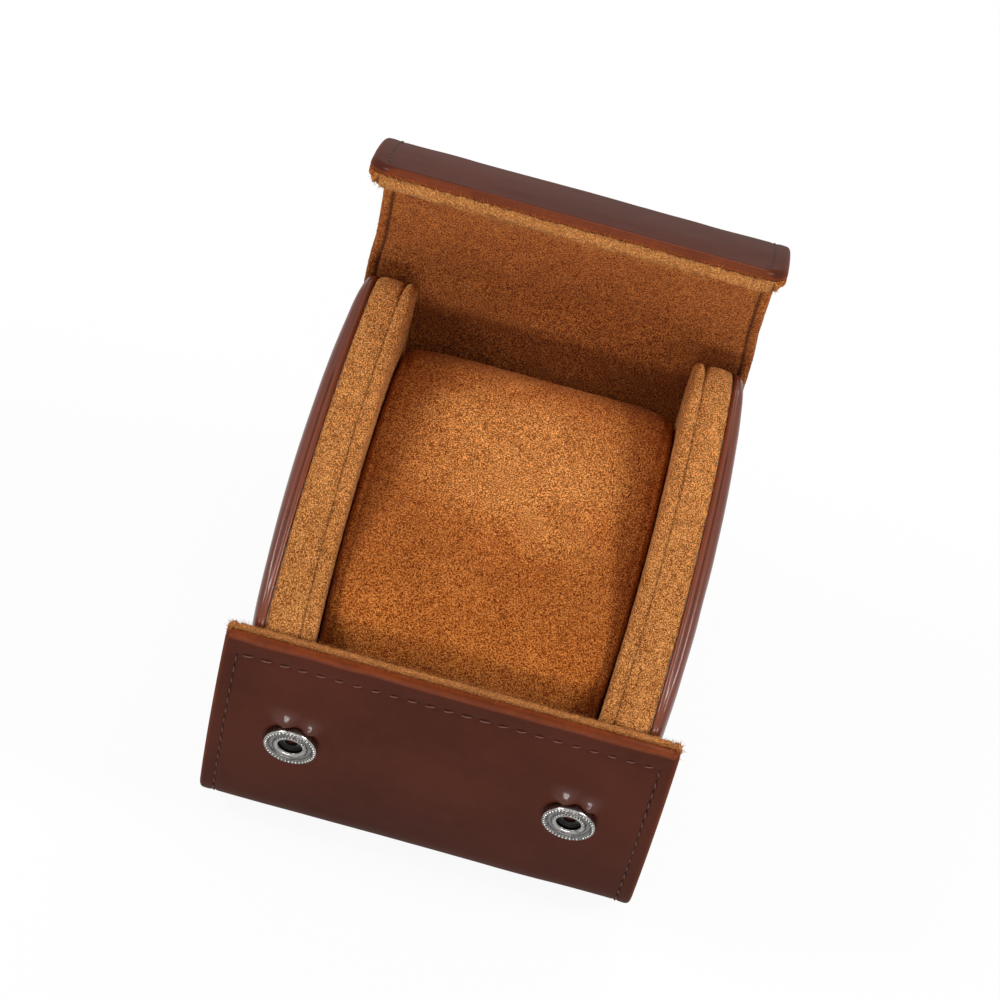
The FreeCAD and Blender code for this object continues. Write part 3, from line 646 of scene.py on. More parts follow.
def wall_outline(inset):
    """Closed side view of a wall, drawn in by inset; each stretch keeps its count of points."""
    n = WALL_COUNTS
    ra, rear_y, front_r = ARCH_R - inset, HALF - THICK - inset, BOW_R - THICK - inset
    cr_y = rear_y - WALL_REAR_R
    cr = (cr_y, ARCH_C[1] + math.sqrt((ra - WALL_REAR_R) ** 2 - (cr_y - ARCH_C[0]) ** 2))
    cf = meet(BOW_C, front_r - WALL_FRONT_R, ARCH_C, ra - WALL_FRONT_R)
    t_top, t_arch, t_front = away(ARCH_C, cr, ra), away(ARCH_C, cf, ra), away(BOW_C, cf, front_r)
    k = front_r / (BOW_R - FRONT_R)
    low_front = tuple(b + (f - b) * k for b, f in zip(BOW_C, FRONT_C))
    floor_front, floor_rear = (FRONT_C[0], THICK + inset), (REAR_C[0], THICK + inset)
    low_rear, t_rear = (rear_y, REAR_C[1]), (rear_y, cr[1])
    return np.concatenate([
        short_arc(BOW_C, front_r, t_front, low_front, n[0]),
        short_arc(FRONT_C, FRONT_R - THICK - inset, low_front, floor_front, n[1]),
        straight(floor_front, floor_rear, n[2]),
        short_arc(REAR_C, REAR_R - THICK - inset, floor_rear, low_rear, n[3]),
        straight(low_rear, t_rear, n[4]),
        short_arc(cr, WALL_REAR_R, t_rear, t_top, n[5]),
        short_arc(ARCH_C, ra, t_top, t_arch, n[6]),
        short_arc(cf, WALL_FRONT_R, t_arch, t_front, n[7]),
    ])


def wall_rings(back, rows, face, face_scales):
    """Rings of points round a wall, from its back over its edge to its face, and its middle.

    rows are (inset, function of y that gives x). Inside them the core outline is scaled down.
    """
    core = wall_outline(WALL_CORE)
    middle = (core.min(0) + core.max(0)) / 2
    lines = [(back, middle + (core - middle) * k) for k in BACK_SCALES]
    lines += [(x_of, wall_outline(inset)) for inset, x_of in rows]
    lines += [(face, middle + (core - middle) * k) for k in face_scales]
    return [np.column_stack([x_of(p[:, 0]), p]) for x_of, p in lines], middle


def close_wall(rings, middle, back, face, rows, turn):
    """A wall's points and faces, closed by a middle point each side, and their ring and inset."""
    n, count = len(rings[0]), len(rings)
    ends = [np.array([[float(x_of(middle[0])), *middle]]) for x_of in (back, face)]
    verts = np.concatenate([ends[0]] + rings + [ends[1]])
    end = 1 + (count - 1) * n
    faces = [[0, 1 + j, 1 + (j + 1) % n] for j in range(n)] + ring_quads(count, n, 1, turn=True)
    faces += [[end + (j + 1) % n, end + j, len(verts) - 1] for j in range(n)]
    if turn:
        faces = [f[::-1] for f in faces]
    index = np.clip((np.arange(len(verts)) - 1) // n, 0, count - 1)
    insets = np.full(count, 9.0)
    insets[len(BACK_SCALES):len(BACK_SCALES) + len(rows)] = [inset for inset, _ in rows]
    return verts, faces, index, insets[index]


def ring_x(sign, a, da, b=SEAM, db=0, t=0):
    """x at each y: a plan curve moved by da mm, or a share t of the way on to a second one."""
    return lambda y: sign * (through(a, y) + da + t * (through(b, y) + db - through(a, y) - da))


def seam_depth(y):
    """How open a wall's sewn seam is: wide at the rear, nearly closed in the middle."""
    return 0.34 + 0.3 * smooth(16, 34, y) + 0.12 * (1 - smooth(-26, -10, y))


def wall_suede(side, sign):
    """Padded suede wall: back against the leather, crowned top with a sewn seam, inner face."""
    def off(*at):
        return ring_x(sign, *at)

    def crown(height, bulge, count, *at):
        return [(height - bulge * math.sin(math.pi * t), off(*at, t))
                for t in np.linspace(0, 1, count)]

    back, face = off(PAD_OUTER, 0), off(INNER_FACE, -0.12)
    rows = [(e, back) for e in (WALL_CORE, 3.0, 1.5)]
    rows += [(e, off(PAD_OUTER, mm)) for e, mm in ((0.95, -0.03), (0.5, -0.18), (0.25, -0.45))]
    rows += crown(0.14, 0.16, 13, PAD_OUTER, -0.85, SEAM, 0.7)
    seam = len(BACK_SCALES) + len(rows)
    rows += [(e, off(SEAM, mm)) for e, mm in (
        (0.3, 0.45), (0.6, 0.25), (0.85, 0.05), (0.8, -0.1), (0.45, -0.28), (0.15, -0.45))]
    rows += crown(0.08, 0.12, 6, SEAM, -0.6, INNER_FACE, 0.9)
    rows += [(e, off(INNER_FACE, mm)) for e, mm in (
        (0.16, 0.55), (0.4, 0.25), (0.8, 0.06), (1.3, 0))]
    rows += [(e, off(INNER_FACE, -0.12 * min(1, (e - 1.3) / 2)))
             for e in (1.8, 2.3, 2.9, 3.6, 4.5, 6.0, WALL_CORE)]
    rings, middle = wall_rings(back, rows, face, (0.9, 0.75, 0.5, 0.25))
    top = wall_outline(0.12)
    share = seam_depth(top[:, 0])[:, None]
    for ring in rings[seam + 1:seam + 5]:
        ring[:, 1:] = ring[:, 1:] * share + top * (1 - share)
    verts, faces, _, insets = close_wall(rings, middle, back, face, rows, sign < 0)
    pleat = noise3(verts * (1, 0.45, 1) * (1, 0.35, 0.35), 1.1, 41)
    verts, grain = nap(verts, faces, 0.08, seed=43, coords=verts * (1, 0.6, 0.6))
    verts = verts + normals_of(verts, faces) * (0.07 * pleat * (insets < 0.3))[:, None]
    y = verts[:, 1]
    # Painted shade: a dashed dark line along the sewn seam of the wall's top.
    dash = 0.75 + 0.25 * np.sin(y * 4.2)
    groove = bump(np.abs(verts[:, 0]) - through(SEAM, y), 0.0, 0.17) * (insets < 1.0) * dash
    # Painted shade: the front end of the wall darker.
    groove = np.maximum(groove, 0.12 * (1 - smooth(-36, -8, y)))
    # Painted light: edge lightens the wall's suede towards its rear.
    return build(side + "_wall_suede", verts, faces, nap=grain + 0.35 * pleat, groove=groove,
                 edge=smooth(-12, 34, y))


def wall_leather(side, sign):
    """Outer leather of a wall: turned edge, pressed line beside it, and a padded face."""
    start, stop = (9.5, 13.5) if sign < 0 else (14, 21)

    def crease(y):
        return smooth(-35, -25, y) * (1 - smooth(start, stop, y))

    def edge_x(mm, share=0):
        return ring_x(sign, PAD_OUTER, mm, SIDE_OUTER, 0, share)

    back, face = edge_x(0.03), edge_x(1.55, 1.0)
    rows = [(e, back) for e in (WALL_CORE, 3.0, 1.2)]
    turned_edge = len(BACK_SCALES) + len(rows)
    rows += [(e, edge_x(mm)) for e, mm in (
        (0.6, 0.06), (0.32, 0.2), (0.2, 0.42), (0.18, 0.7), (0.26, 0.95))]
    line = len(BACK_SCALES) + len(rows)
    rows += [(e, edge_x(mm)) for e, mm in ((0.5, 1.12), (0.62, 1.24), (0.52, 1.38), (0.5, 1.55))]
    rows += [(e, edge_x(1.55, share)) for e, share in (
        (0.62, 0.25), (0.85, 0.45), (1.25, 0.64), (1.8, 0.8), (2.6, 0.91), (3.6, 0.97),
        (5.0, 1.0), (WALL_CORE, 1.0))]
    scales = (0.93, 0.86, 0.78, 0.69, 0.6, 0.5, 0.4, 0.3, 0.2, 0.1)
    rings, middle = wall_rings(back, rows, face, scales)
    for i in range(line, line + 3):
        # Deeper where the pressed line is, on the plain surface where it isn't.
        inset, x_of = rows[i - len(BACK_SCALES)]
        deep = wall_outline(inset)
        c = crease(deep[:, 0])[:, None]
        p = deep * c + wall_outline(0.3) * (1 - c)
        rings[i] = np.column_stack([x_of(p[:, 0]), p])
    verts, faces, index, insets = close_wall(rings, middle, back, face, rows, sign > 0)
    wave = waves(verts, (0.10, 16, 51), (0.06, 6, 52))
    verts[:, 0] += sign * wave * (index >= turned_edge) * smooth(0.3, 4, insets)
    edge = np.where((index >= turned_edge - 1) & (index < line - 1), 0.55, 0.0)
    edge = edge + 0.22 * ((index >= line - 1) & (index < line + 4))
    edge = np.clip(edge * (0.75 + 0.3 * noise3(verts, 5, 53)), 0, 1)
    # Painted shade in the pressed line beside the turned edge.
    groove = 0.9 * (index == line + 1) * crease(verts[:, 1])
    return build(side + "_side_leather_skin", verts, faces, edge=edge, groove=groove)


walls = {side: (wall_suede(side, sign), wall_leather(side, sign)) for side, sign in SIDES}


# The watch pillow: a stuffed form, swelled by a cloth simulation, then given its end seams.
PILLOW_SHRINK = 0.5
PILLOW_POWER = 4.8  # squareness of its cross-section
PILLOW_STATIONS = ((-1.0, 2.0), (-0.99, 0.9), (-0.95, 0.3), (-0.8, 0.05), (-0.45, 0), (0, 0),
                   (0.45, 0), (0.8, 0.05), (0.95, 0.3), (0.99, 0.9), (1.0, 2.0))
SWELL_FRAMES = 20


def pillow_room(y):
    """Half the width that the side walls leave for the pillow, in mm."""
    return through(INNER_FACE, np.clip(y, -HALF, HALF)) - 0.2


def pillow_blank(ring=64):
    """The stuffed form before it swells: full across the case, with rounded shoulders."""
    y0, y1 = PILLOW_Y[0] + PILLOW_SHRINK - 0.3, PILLOW_Y[1] - PILLOW_SHRINK + 2.6
    z0, z1 = PILLOW_Z[0] + 0.4, PILLOW_Z[1] - PILLOW_SHRINK
    verts = []
    for k, inset in PILLOW_STATIONS:
        for i in range(ring):
            a = 2 * math.pi * i / ring
            c, s = math.cos(a), math.sin(a)
            r = (abs(c) ** PILLOW_POWER + abs(s) ** PILLOW_POWER) ** (-1 / PILLOW_POWER)
            y = (y0 + y1) / 2 + ((y1 - y0) / 2 - inset) * c * r
            z = (z0 + z1) / 2 + ((z1 - z0) / 2 - inset) * s * r
            verts.append((k * (pillow_room(y) - PILLOW_SHRINK), y, z))
    return np.array(verts), tube(len(PILLOW_STATIONS), ring)


def apply_modifiers(obj):
    dg = bpy.context.evaluated_depsgraph_get()
    mesh = bpy.data.meshes.new_from_object(obj.evaluated_get(dg))
    obj.modifiers.clear()
    obj.data = mesh


def coords_of(obj):
    co = np.zeros(len(obj.data.vertices) * 3, np.float64)
    obj.data.vertices.foreach_get("co", co)
    return co.reshape(-1, 3)


def swell(obj):
    """Cloth simulation with inner pressure and no gravity; no point moves by more than 5 mm."""
    before = coords_of(obj)
    settings = obj.modifiers.new("cloth", "CLOTH").settings
    settings.quality = 6
    settings.mass = 0.3
    settings.tension_stiffness = settings.compression_stiffness = 12
    settings.bending_stiffness = 0.6
    settings.use_pressure = True
    settings.uniform_pressure_force = 4.0
    settings.effector_weights.gravity = 0
    scene = bpy.context.scene
    for f in range(1, SWELL_FRAMES + 1):
        scene.frame_set(f)
    apply_modifiers(obj)
    after = coords_of(obj)
    scene.frame_set(1)
    move = after - before
    length = np.linalg.norm(move, axis=1)
    return before + move * np.minimum(1, 5 * MM / np.maximum(length, 1e-9))[:, None]


def polygons_of(obj):
    return [list(p.vertices) for p in obj.data.polygons]


def make_pillow():
    obj = build("pillow_blank", *pillow_blank())
    remesh = obj.modifiers.new("remesh", "REMESH")
    remesh.mode = "VOXEL"
    remesh.voxel_size = 0.004
    apply_modifiers(obj)
    before = coords_of(obj)
    move = swell(obj) - before
    normal = normals_of(before, polygons_of(obj))
    out = (move * normal).sum(1)
    kept = np.clip(out, 0.0001, 0.0016)
    co = before + move - normal * out[:, None] + normal * kept[:, None]
    obj.data.vertices.foreach_set("co", co.ravel())
    obj.data.update()
    sub = obj.modifiers.new("subdivision", "SUBSURF")
    sub.levels = sub.render_levels = 3
    apply_modifiers(obj)
    co, polys = coords_of(obj) / MM, polygons_of(obj)
    bpy.data.objects.remove(obj)
    high = smooth(15, 45, co[:, 2])
    room = pillow_room(co[:, 1]) + 0.15
    left = np.clip(1 - np.abs(co[:, 0]) / room, 0, 0.16) / 0.16
    ends = np.abs(co[:, 0]) / room > 0.84
    co[:, 0] += np.sign(co[:, 0]) * room * 0.16 * (left - left ** 2.2) * ends
    sag = 0.5 * noise3(co * (1, 1, 0.5), 17, 61) + 0.3 * noise3(co, 7, 62)
    seam = bump(np.abs(co[:, 0]) / room, 0.93, 0.016) * high
    co = co + normals_of(co, polys) * (0.45 * sag * high - 0.3 * seam)[:, None]
    co, grain = nap(co, polys, 0.08 * high, seed=63)
    # Painted light: a lighter pool over the middle of the pillow, passed on as edge.
    nap_lift_and_painted_light = np.hypot((co[:, 0] - 2) / 27, (co[:, 1] - 8) / 21) + 0.22 * noise3(co, 9, 65)
    # Painted shade: the pillow darker away from its middle.
    shade = 0.24 * smooth(12, 30, np.hypot(co[:, 0] - 4, 0.9 * (co[:, 1] - 9))) * high
    co[:, 0] = np.clip(co[:, 0], -room, room)
    co[:, 1] = np.clip(co[:, 1], PILLOW_Y[0] - 0.7, 38.0)
    co[:, 2] = np.maximum(co[:, 2], PILLOW_Z[0] + 0.1)
    # The end seams carry a little painted shade as well.
    return build("pillow_suede", co, polys, nap=grain, groove=seam * 0.08 + shade,
                 edge=1 - smooth(0.3, 1.15, nap_lift_and_painted_light))


pillow = make_pillow()


# Snap fasteners. A row is a radius and a height; a toothed one adds a tooth count and the teeth's
# size out and up. Painted shade in the hollows is given for rows from a first one on.
SOCKET = (
    (1.85, -0.25), (4.75, -0.25), (4.8, 0.2), (5.15, 0.85), (5.2, 1.35), (5.18, 1.7), (5.08, 1.98),
    (4.94, 2.1, 42, 0.02, 0.03), (4.8, 2.15, 42, 0.05, 0.08), (4.66, 2.16, 42, 0.06, 0.1),
    (4.52, 2.12, 42, 0.06, 0.1), (4.4, 2.03, 42, 0.04, 0.06), (4.26, 1.86), (4.14, 1.7),
    (4.0, 1.6), (3.7, 1.56), (3.4, 1.57), (3.3, 1.66, 32, 0.03, 0.02), (3.22, 1.8, 32, 0.06, 0.03),
    (3.12, 1.93, 32, 0.05, 0.04), (2.98, 1.99, 32, 0.02, 0.02), (2.75, 1.98), (2.5, 1.86),
    (2.34, 1.7), (2.27, 1.45), (2.3, 1.41), (2.88, 1.4), (2.88, 0.35), (1.85, 0.34))
SOCKET_HOLLOW_SHADE = ((12, (0.5, 0.85, 0.75, 0.45, 0.8, 0.7)), (22, (0.1, 0.35, 0.9, 1, 1, 1, 1)))
STUD = (
    (0.0, -2.1), (1.15, -2.1), (1.15, -0.25), (3.88, -0.25), (3.9, 0.3), (3.8, 0.5), (3.55, 0.58),
    (3.2, 0.5), (2.9, 0.42), (2.4, 0.45), (1.7, 0.6), (1.42, 0.76), (1.35, 0.95), (1.55, 1.1),
    (1.74, 1.25), (1.74, 1.42), (1.62, 1.6), (1.36, 1.72), (0.9, 1.76), (0.6, 1.68),
    (0.35, 1.58), (0.0, 1.56))
SOCKET_SEGMENTS, STUD_SEGMENTS = 336, 96


def turned(name, profile, n, origin, up, hollow_shade=()):
    """A profile revolved in n segments round a line from origin (mm) in the direction up."""
    a = np.arange(n) * 2 * math.pi / n
    rows, painted_hollow_shade = [], []
    for r, h, count, out, rise in [(*row, 0, 0, 0)[:5] for row in profile]:
        wave = np.cos(count * a) if count else 0 * a
        # Painted shade in the valleys between the milled teeth.
        painted_hollow_shade.append((0.5 - 0.5 * wave) * min(1, 12 * (out + rise)))
        r = r + out * wave
        rows.append(np.stack([r * np.cos(a), r * np.sin(a), h + rise * wave], 1))
    # Painted shade in the hollow rows listed from a first one on.
    for first, amounts in hollow_shade:
        for row, amount in enumerate(amounts, first):
            painted_hollow_shade[row] = np.maximum(painted_hollow_shade[row], amount)
    faces = ring_quads(len(rows), n)
    if profile[0][0] > 0:
        last = (len(rows) - 1) * n
        faces += [[last + j, last + (j + 1) % n, (j + 1) % n, j] for j in range(n)]
    z = Vector(up).normalized()
    x = Vector((1, 0, 0))
    axes = np.array([x, z.cross(x).normalized(), z])
    verts = np.concatenate(rows) @ axes + origin
    obj = build(name, verts, faces, groove=np.concatenate(painted_hollow_shade))
    bm = bmesh.new()
    bm.from_mesh(obj.data)
    bmesh.ops.remove_doubles(bm, verts=bm.verts, dist=1e-7)  # the points on the axis
    bmesh.ops.recalc_face_normals(bm, faces=bm.faces)
    bm.to_mesh(obj.data)
    bm.free()
    return obj


sockets, studs = {}, {}
front_spot = place(0.0, S_SNAP, 0.0)
stud_spot = place(0.0, S_STUD, THICK)
stud_way = math.radians(STUD_ANGLE)
for side, sign in SIDES:
    sockets[side] = turned(side + "_socket_disc", SOCKET, SOCKET_SEGMENTS,
                           (sign * SNAP_X, *front_spot[1:]), (0, -1, 0), SOCKET_HOLLOW_SHADE)
    studs[side] = turned(side + "_stud_turned", STUD, STUD_SEGMENTS,
                         (sign * SNAP_X, *stud_spot[1:]),
                         (0, -math.sin(stud_way), -math.cos(stud_way)))


# Materials.
class Graph:
    """The nodes of a material or world, with short calls for those that the finishes need."""

    def __init__(self, name, world=False):
        self.owner = (bpy.data.worlds if world else bpy.data.materials).new(name)
        self.owner.use_nodes = True
        self.nodes, self.links = self.owner.node_tree.nodes, self.owner.node_tree.links

    def put(self, socket, value):
        """Links an output to the socket, or sets its value; a colour may leave out its alpha."""
        if hasattr(value, "is_linked"):
            self.links.new(value, socket)
        elif socket.type == "RGBA":
            socket.default_value = (*value, 1.0)
        else:
            socket.default_value = value

    def node(self, kind, inputs=None, **settings):
        node = self.nodes.new("ShaderNode" + kind)
        for key, value in settings.items():
            setattr(node, key, value)
        for key, value in (inputs or {}).items():
            self.put(node.inputs[key], value)
        return node

    def rest(self):
        return self.node("Attribute", attribute_name="rest").outputs["Vector"]

    def value(self, name, factor=None):
        """A point value of the mesh, or factor times it, not past 0 and 1."""
        fac = self.node("Attribute", attribute_name=name).outputs["Fac"]
        return fac if factor is None else self.math("MULTIPLY", fac, factor, clamp=True)

    def noise(self, vector, scale, detail, roughness):
        return self.node("TexNoise", {"Vector": vector, "Scale": scale, "Detail": detail,
                                      "Roughness": roughness}).outputs["Fac"]

    def math(self, op, a, b, clamp=False):
        return self.node("Math", {0: a, 1: b}, operation=op, use_clamp=clamp).outputs[0]

    def blend(self, *parts):
        """A weighted sum of values, given as (value, weight)."""
        parts = [self.math("MULTIPLY", value, weight) for value, weight in parts]
        total = parts[0]
        for other in parts[1:]:
            total = self.math("ADD", total, other)
        return total

    def mix(self, factor, a, b, blend="MIX"):
        """Mixes two colours by a factor; the node's colour sockets are 6 and 7, and output 2."""
        node = self.node("Mix", data_type="RGBA", blend_type=blend, clamp_factor=True)
        for socket, value in ((0, factor), (6, a), (7, b)):
            self.put(node.inputs[socket], value)
        return node.outputs[2]

    def ramp(self, factor, stops):
        node = self.node("ValToRGB", {"Fac": factor})
        while len(node.color_ramp.elements) < len(stops):
            node.color_ramp.elements.new(0.5)
        for e, (at, colour) in zip(node.color_ramp.elements, stops):
            e.position = at
            e.color = (*colour, 1.0)
        return node.outputs["Color"]

    def span(self, value, low, high, to_low, to_high):
        return self.node("MapRange", {"Value": value, "From Min": low, "From Max": high,
                                      "To Min": to_low, "To Max": to_high}).outputs["Result"]

    def bumps(self, height, strength, distance, normal=None):
        node = self.node("Bump", {"Height": height, "Strength": strength, "Distance": distance})
        if normal is not None:
            self.put(node.inputs["Normal"], normal)
        return node.outputs["Normal"]

    def finish(self, colour, roughness, normal=None, **fixed):
        """Sets the surface shader, and gives the material back."""
        fixed.update(Base_Color=colour, Roughness=roughness)
        if normal is not None:
            fixed["Normal"] = normal
        for key, value in fixed.items():
            self.put(self.nodes["Principled BSDF"].inputs[key.replace("_", " ")], value)
        return self.owner


def times(colour, k):
    return tuple(k * v for v in colour)


LEATHER_SHADES = ((0.060, 0.0148, 0.0078), (0.078, 0.0192, 0.0102), (0.092, 0.024, 0.0135))


def leather_material(name, tone, coat, coat_rough, polished=0):
    """Smooth leather; polished is the coat's weight on the folds above the snaps."""
    g = Graph(name)
    p = g.rest()
    broad = g.noise(p, 0.045, 3.0, 0.55)
    cloud = g.noise(p, 0.35, 4.0, 0.6)
    deep, plain, pale = (times(c, tone) for c in LEATHER_SHADES)
    base = g.mix(g.span(broad, 0.35, 0.65, 0, 1), deep, plain)
    base = g.mix(g.span(cloud, 0.3, 0.75, 0, 0.3), base, pale)
    patchy = g.span(g.noise(p, 0.9, 3.0, 0.6), 0.25, 0.65, 0.6, 1.0)
    base = g.mix(g.value("edge", patchy), base, (0.23, 0.050, 0.014))
    # Painted shade, mixed in towards near black.
    base = g.mix(g.value("groove", 0.85), base, (0.010, 0.003, 0.002))
    grain = g.node("TexVoronoi", {"Vector": p, "Scale": 2.6}).outputs["Distance"]
    height = g.blend((grain, 0.35), (g.noise(p, 5.0, 3.0, 0.6), 0.3))
    normal = g.bumps(height, 0.08, 0.00012)
    normal = g.bumps(g.noise(p, 0.5, 2.0, 0.5), 0.05, 0.0012, normal)
    mat = g.finish(base, g.span(cloud, 0.3, 0.7, 0.38, 0.5), normal, Specular_IOR_Level=0.0,
                   Coat_Weight=coat, Coat_Roughness=coat_rough)
    if polished:
        weight = g.nodes["Principled BSDF"].inputs["Coat Weight"]
        g.put(weight, g.span(g.value("nap"), 0, 1, coat, polished))
    return mat


def suede_material(name, tones, nap_lift_and_painted_light, blotch, stretch=(1.0, 1.0, 1.0), fuzz=0.0):
    """Suede in a dark, a middle and a light tone, tinted lighter by lifted nap and by painted
    light.
    """
    g = Graph(name)
    p = g.node("VectorMath", {0: g.rest(), 1: stretch}, operation="MULTIPLY").outputs[0]
    pile, fine = g.noise(p, 3.2, 1.0, 0.5), g.noise(p, 6.4, 1.0, 0.5)
    height = g.blend((pile, 0.45), (fine, 0.55), (g.value("nap"), 0.03))
    dark, middle, light = tones
    colour = g.ramp(height, [(0.375, times(dark, 0.5)), (0.445, dark), (0.5, middle),
                             (0.56, light), (0.625, times(light, 1.3))])
    patch = g.span(g.noise(g.rest(), 0.10, 3.0, 0.55), 0.38, 0.62, 0, blotch)
    colour = g.mix(patch, colour, g.mix(1.0, colour, (0.72, 0.60, 0.50), "MULTIPLY"))
    # The edge value mixes in a lighter colour: partly lifted nap, partly painted light.
    lifted_and_painted_lit_colour = g.mix(fuzz, g.mix(1.0, colour, nap_lift_and_painted_light, "MULTIPLY"), (0.47, 0.19, 0.058))
    colour = g.mix(g.value("edge", 1.0), colour, lifted_and_painted_lit_colour)
    # Painted shade, mixed in towards a dark brown.
    colour = g.mix(g.value("groove", 0.85), colour, (0.06, 0.014, 0.003))
    return g.finish(colour, 0.95, g.bumps(height, 1.0, 0.00055), Specular_IOR_Level=0.0,
                    Sheen_Weight=0.04, Sheen_Roughness=0.5)


def metal_material(name, colour, rough):
    g = Graph(name)
    p = g.rest()
    scratch = g.noise(p, 3.0, 4.0, 0.7)
    tint = g.mix(g.span(scratch, 0.3, 0.7, 0, 0.6), colour, times(colour, 0.7))
    spots = g.span(g.noise(p, 0.9, 3.0, 0.6), 0.5, 0.66, 0, 0.75)
    tint = g.mix(spots, tint, times(colour, 0.3))
    # Painted shade in the hollows, mixed in towards near black.
    tint = g.mix(g.value("groove", 0.9), tint, (0.03, 0.026, 0.024))
    return g.finish(tint, g.span(scratch, 0.3, 0.7, rough * 0.8, rough * 1.5),
                    g.bumps(scratch, 0.08, 0.0001), Metallic=1.0)


def plain_material(name, colour, scale, rough, metallic=0.0):
    g = Graph(name)
    n = g.noise(g.node("TexCoord").outputs["Object"], scale, 4.0, 0.65)
    tint = g.mix(g.span(n, 0.3, 0.7, 0, 1), colour, times(colour, 0.72))
    return g.finish(tint, g.span(n, 0.3, 0.7, rough * 0.85, min(1, rough * 1.1)),
                    g.bumps(n, 0.3, 0.0004), Metallic=metallic)


def thread_material(name):
    g = Graph(name)
    n = g.noise(g.rest(), 6.0, 2.0, 0.6)
    tint = g.mix(g.span(n, 0.3, 0.7, 0, 1), (0.17, 0.066, 0.050), (0.28, 0.125, 0.100))
    # Painted shade on the threads and in the needle holes.
    tint = g.mix(g.value("groove"), tint, (0.008, 0.003, 0.002))
    return g.finish(tint, 0.7, g.bumps(n, 0.5, 0.0002), Specular_IOR_Level=0.15)


LEATHER = leather_material("leather_smooth", 1.0, 0.10, 0.2, polished=0.75)
# Painted light: the sides are the strip's leather made 1.8 times lighter.
SIDE_LEATHER_PAINTED_LIGHTER = leather_material("leather_sides_painted_lighter", 1.8, 0.6, 0.22)
SUEDE = suede_material(
    "suede_tan", ((0.15, 0.022, 0.003), (0.37, 0.089, 0.015), (0.66, 0.23, 0.05)),
    (1.2, 1.6, 2.1), 0.3, fuzz=0.55)
WALL = suede_material(
    "suede_wall", ((0.26, 0.074, 0.013), (0.52, 0.184, 0.041), (0.80, 0.365, 0.112)),
    (1.28, 1.32, 1.36), 0.25, (1.35, 0.95, 0.95))
PILLOW = suede_material(
    "suede_pillow", ((0.26, 0.044, 0.004), (0.485, 0.126, 0.018), (0.765, 0.278, 0.060)),
    (1.28, 1.65, 2.2), 0.35)
NICKEL = metal_material("nickel_plate", (0.38, 0.37, 0.352), 0.17)
THREAD = thread_material("sewing_thread")
BOARD = plain_material("stiffener_board", (0.45, 0.42, 0.38), 400, 0.9)
FOAM = plain_material("padding_foam", (0.8, 0.76, 0.66), 900, 0.95)
PLAIN_METAL = plain_material("plain_metal", (0.13, 0.125, 0.12), 500, 0.35, 1.0)


# What each piece stands for, its finish and colour slot, and the body that it rides on.
def dress(obj, material, nodes=(), body=None):
    if nodes:
        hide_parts(*nodes)
    obj.data.materials.clear()
    obj.data.materials.append(material)
    if body:
        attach(obj, body)


def hinge_blend(obj):
    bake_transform(obj)


def fold_blend(obj):
    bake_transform(obj)


dress(wrap_leather, LEATHER, ("wrap_leather", "lid_leather"))
dress(wrap_suede, SUEDE, ("wrap_lining", "lid_lining"))
dress(case_stitches, THREAD)
dress(flap_leather, LEATHER, ("flap_leather",))
dress(flap_suede, SUEDE, ("flap_lining",))
dress(flap_stitches, THREAD)
for obj in (wrap_leather, wrap_suede, case_stitches):
    hinge_blend(obj)
for obj in (flap_leather, flap_suede, flap_stitches):
    fold_blend(obj)
for side, (soft, skin) in walls.items():
    dress(soft, WALL, (side + "_inner_panel", side + "_top_band"), "case")
    dress(skin, SIDE_LEATHER_PAINTED_LIGHTER, (side + "_side_leather",), "case")
    dress(sockets[side], NICKEL, (side + "_snap_socket",), "case")
    dress(studs[side], NICKEL, (side + "_snap_stud",), "flap")
dress(pillow, PILLOW, ("pillow_cover",), "case")
for name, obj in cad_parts.items():
    if name.endswith("board"):
        dress(obj, BOARD)
    elif name.endswith("foam") or name == "pillow_core":
        dress(obj, FOAM)
    elif "eyelet" in name or "spring" in name or "cap" in name:
        dress(obj, PLAIN_METAL)


# Floor, light and camera, in metres and watts.
FLOOR_HALF = 6.0
FLOOR_SEEN = 0.93  # how much of the floor is plain white where it is seen
WORLD_LIGHT = 0.36
LAMPS = (
    ("left_box", (-0.78, -0.12, 0.80), (0, 0, 0.07), (0.32, 0.32), 6.0),
    ("right_box", (0.78, -0.05, 0.84), (0, 0, 0.07), (0.32, 0.32), 6.4),
    ("front_box", (0.05, -0.62, 1.0), (0, 0, 0.07), (0.45, 0.45), 1.2),
    ("front_strip", (0.10, -0.90, 0.07), (0, 0, 0.05), (0.60, 0.08), 3.2),
    ("back_box", (0.12, 0.75, 0.78), (0, 0, 0.10), (0.30, 0.30), 3.0),
)
CAMERA_TURNS = (-1.01, 54.9, 14.55)  # azimuth, elevation and roll
CAMERA_TARGET = (-1.57, 12.1, 51.9)
CAMERA_DISTANCE = 0.860
CAMERA_LENS = 161.66


def seen(g):
    """1 for rays that show a surface, straight on, mirrored or through glass, 0 for the rest."""
    path = g.node("LightPath").outputs
    both = g.math("MAXIMUM", path["Is Camera Ray"], path["Is Glossy Ray"])
    return g.math("MAXIMUM", both, path["Is Transmission Ray"])


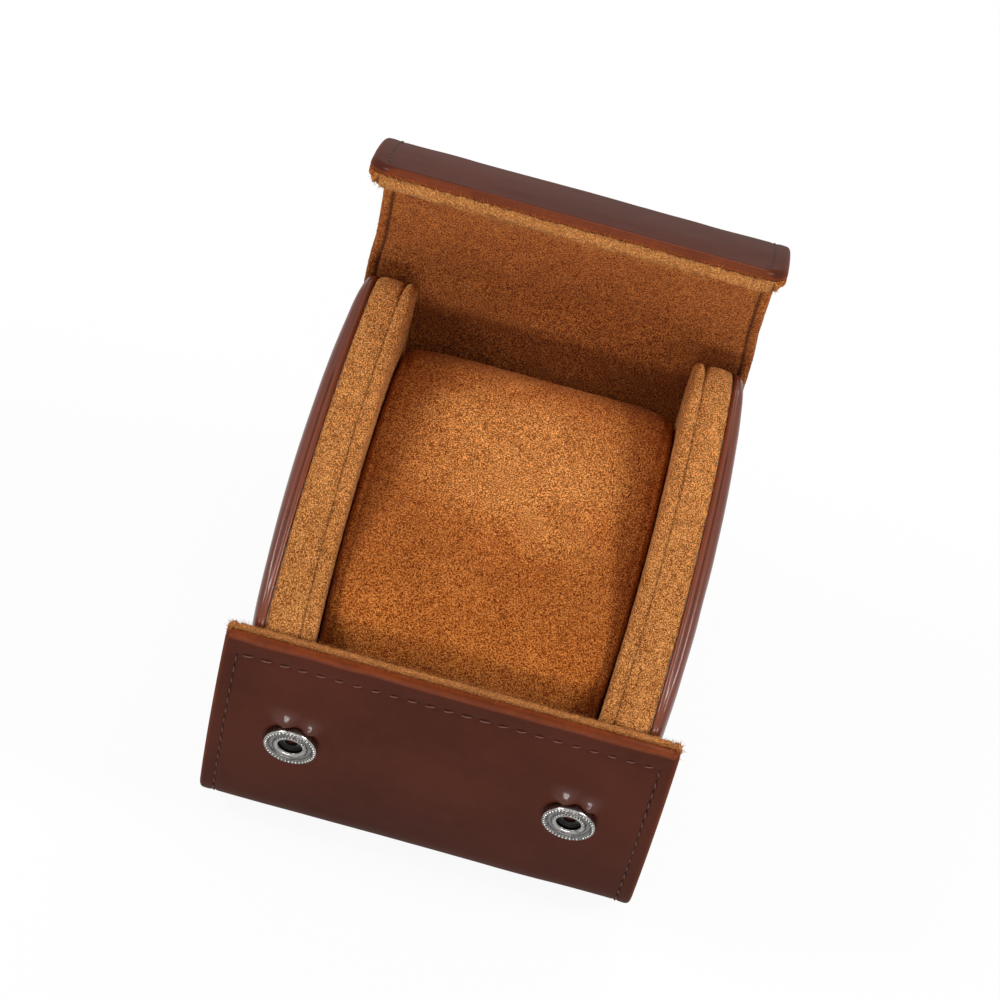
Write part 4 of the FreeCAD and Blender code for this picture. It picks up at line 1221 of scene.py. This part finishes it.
def make_floor():
    mesh = bpy.data.meshes.new("floor")
    corners = [(-1, -1), (1, -1), (1, 1), (-1, 1)]
    mesh.from_pydata(
        [(x * FLOOR_HALF, y * FLOOR_HALF, -0.0002) for x, y in corners], [], [(0, 1, 2, 3)])
    g = Graph("floor_pale")
    g.finish((0.76, 0.76, 0.76), 0.9, Specular_IOR_Level=0.1)
    emit = g.node("Emission", {"Strength": 1.0})
    mix = g.node("MixShader", {0: g.math("MULTIPLY", seen(g), FLOOR_SEEN),
                               1: g.nodes["Principled BSDF"].outputs[0], 2: emit.outputs[0]})
    g.put(g.nodes["Material Output"].inputs["Surface"], mix.outputs[0])
    mesh.materials.append(g.owner)
    link_new("floor", mesh)


def make_world():
    g = Graph("studio", world=True)
    bpy.context.scene.world = g.owner
    back = g.nodes["Background"].inputs
    g.put(back["Color"], (1, 1, 1))
    g.put(back["Strength"], g.span(seen(g), 0, 1, WORLD_LIGHT, 1.0))


def area_light(name, spot, target, size, power):
    data = bpy.data.lights.new(name, "AREA")
    data.shape = "RECTANGLE"
    data.size, data.size_y = size
    data.energy = power
    obj = link_new(name, data)
    obj.location = spot
    obj.rotation_mode = "QUATERNION"
    obj.rotation_quaternion = (Vector(target) - Vector(spot)).to_track_quat("-Z", "Y")


def make_camera():
    azimuth, elevation, roll = (math.radians(v) for v in CAMERA_TURNS)
    flat = math.cos(elevation)
    forward = Vector((math.sin(azimuth) * flat, math.cos(azimuth) * flat, -math.sin(elevation)))
    right = forward.cross(Vector((0, 0, 1))).normalized()
    up = right.cross(forward)
    c, s = math.cos(roll), math.sin(roll)
    x, y = c * right + s * up, -s * right + c * up
    spot = Vector(CAMERA_TARGET) * MM - forward * CAMERA_DISTANCE
    data = bpy.data.cameras.new("camera")
    data.sensor_width = 36.0
    data.lens = CAMERA_LENS
    data.clip_start, data.clip_end = 0.05, 50
    cam = link_new("camera", data)
    rows = [(x[i], y[i], -forward[i], spot[i]) for i in range(3)]
    cam.matrix_world = Matrix((*rows, (0, 0, 0, 1)))
    bpy.context.scene.camera = cam


make_floor()
make_world()
for lamp in LAMPS:
    area_light(*lamp)
make_camera()
bpy.context.scene.view_settings.view_transform = "Standard"
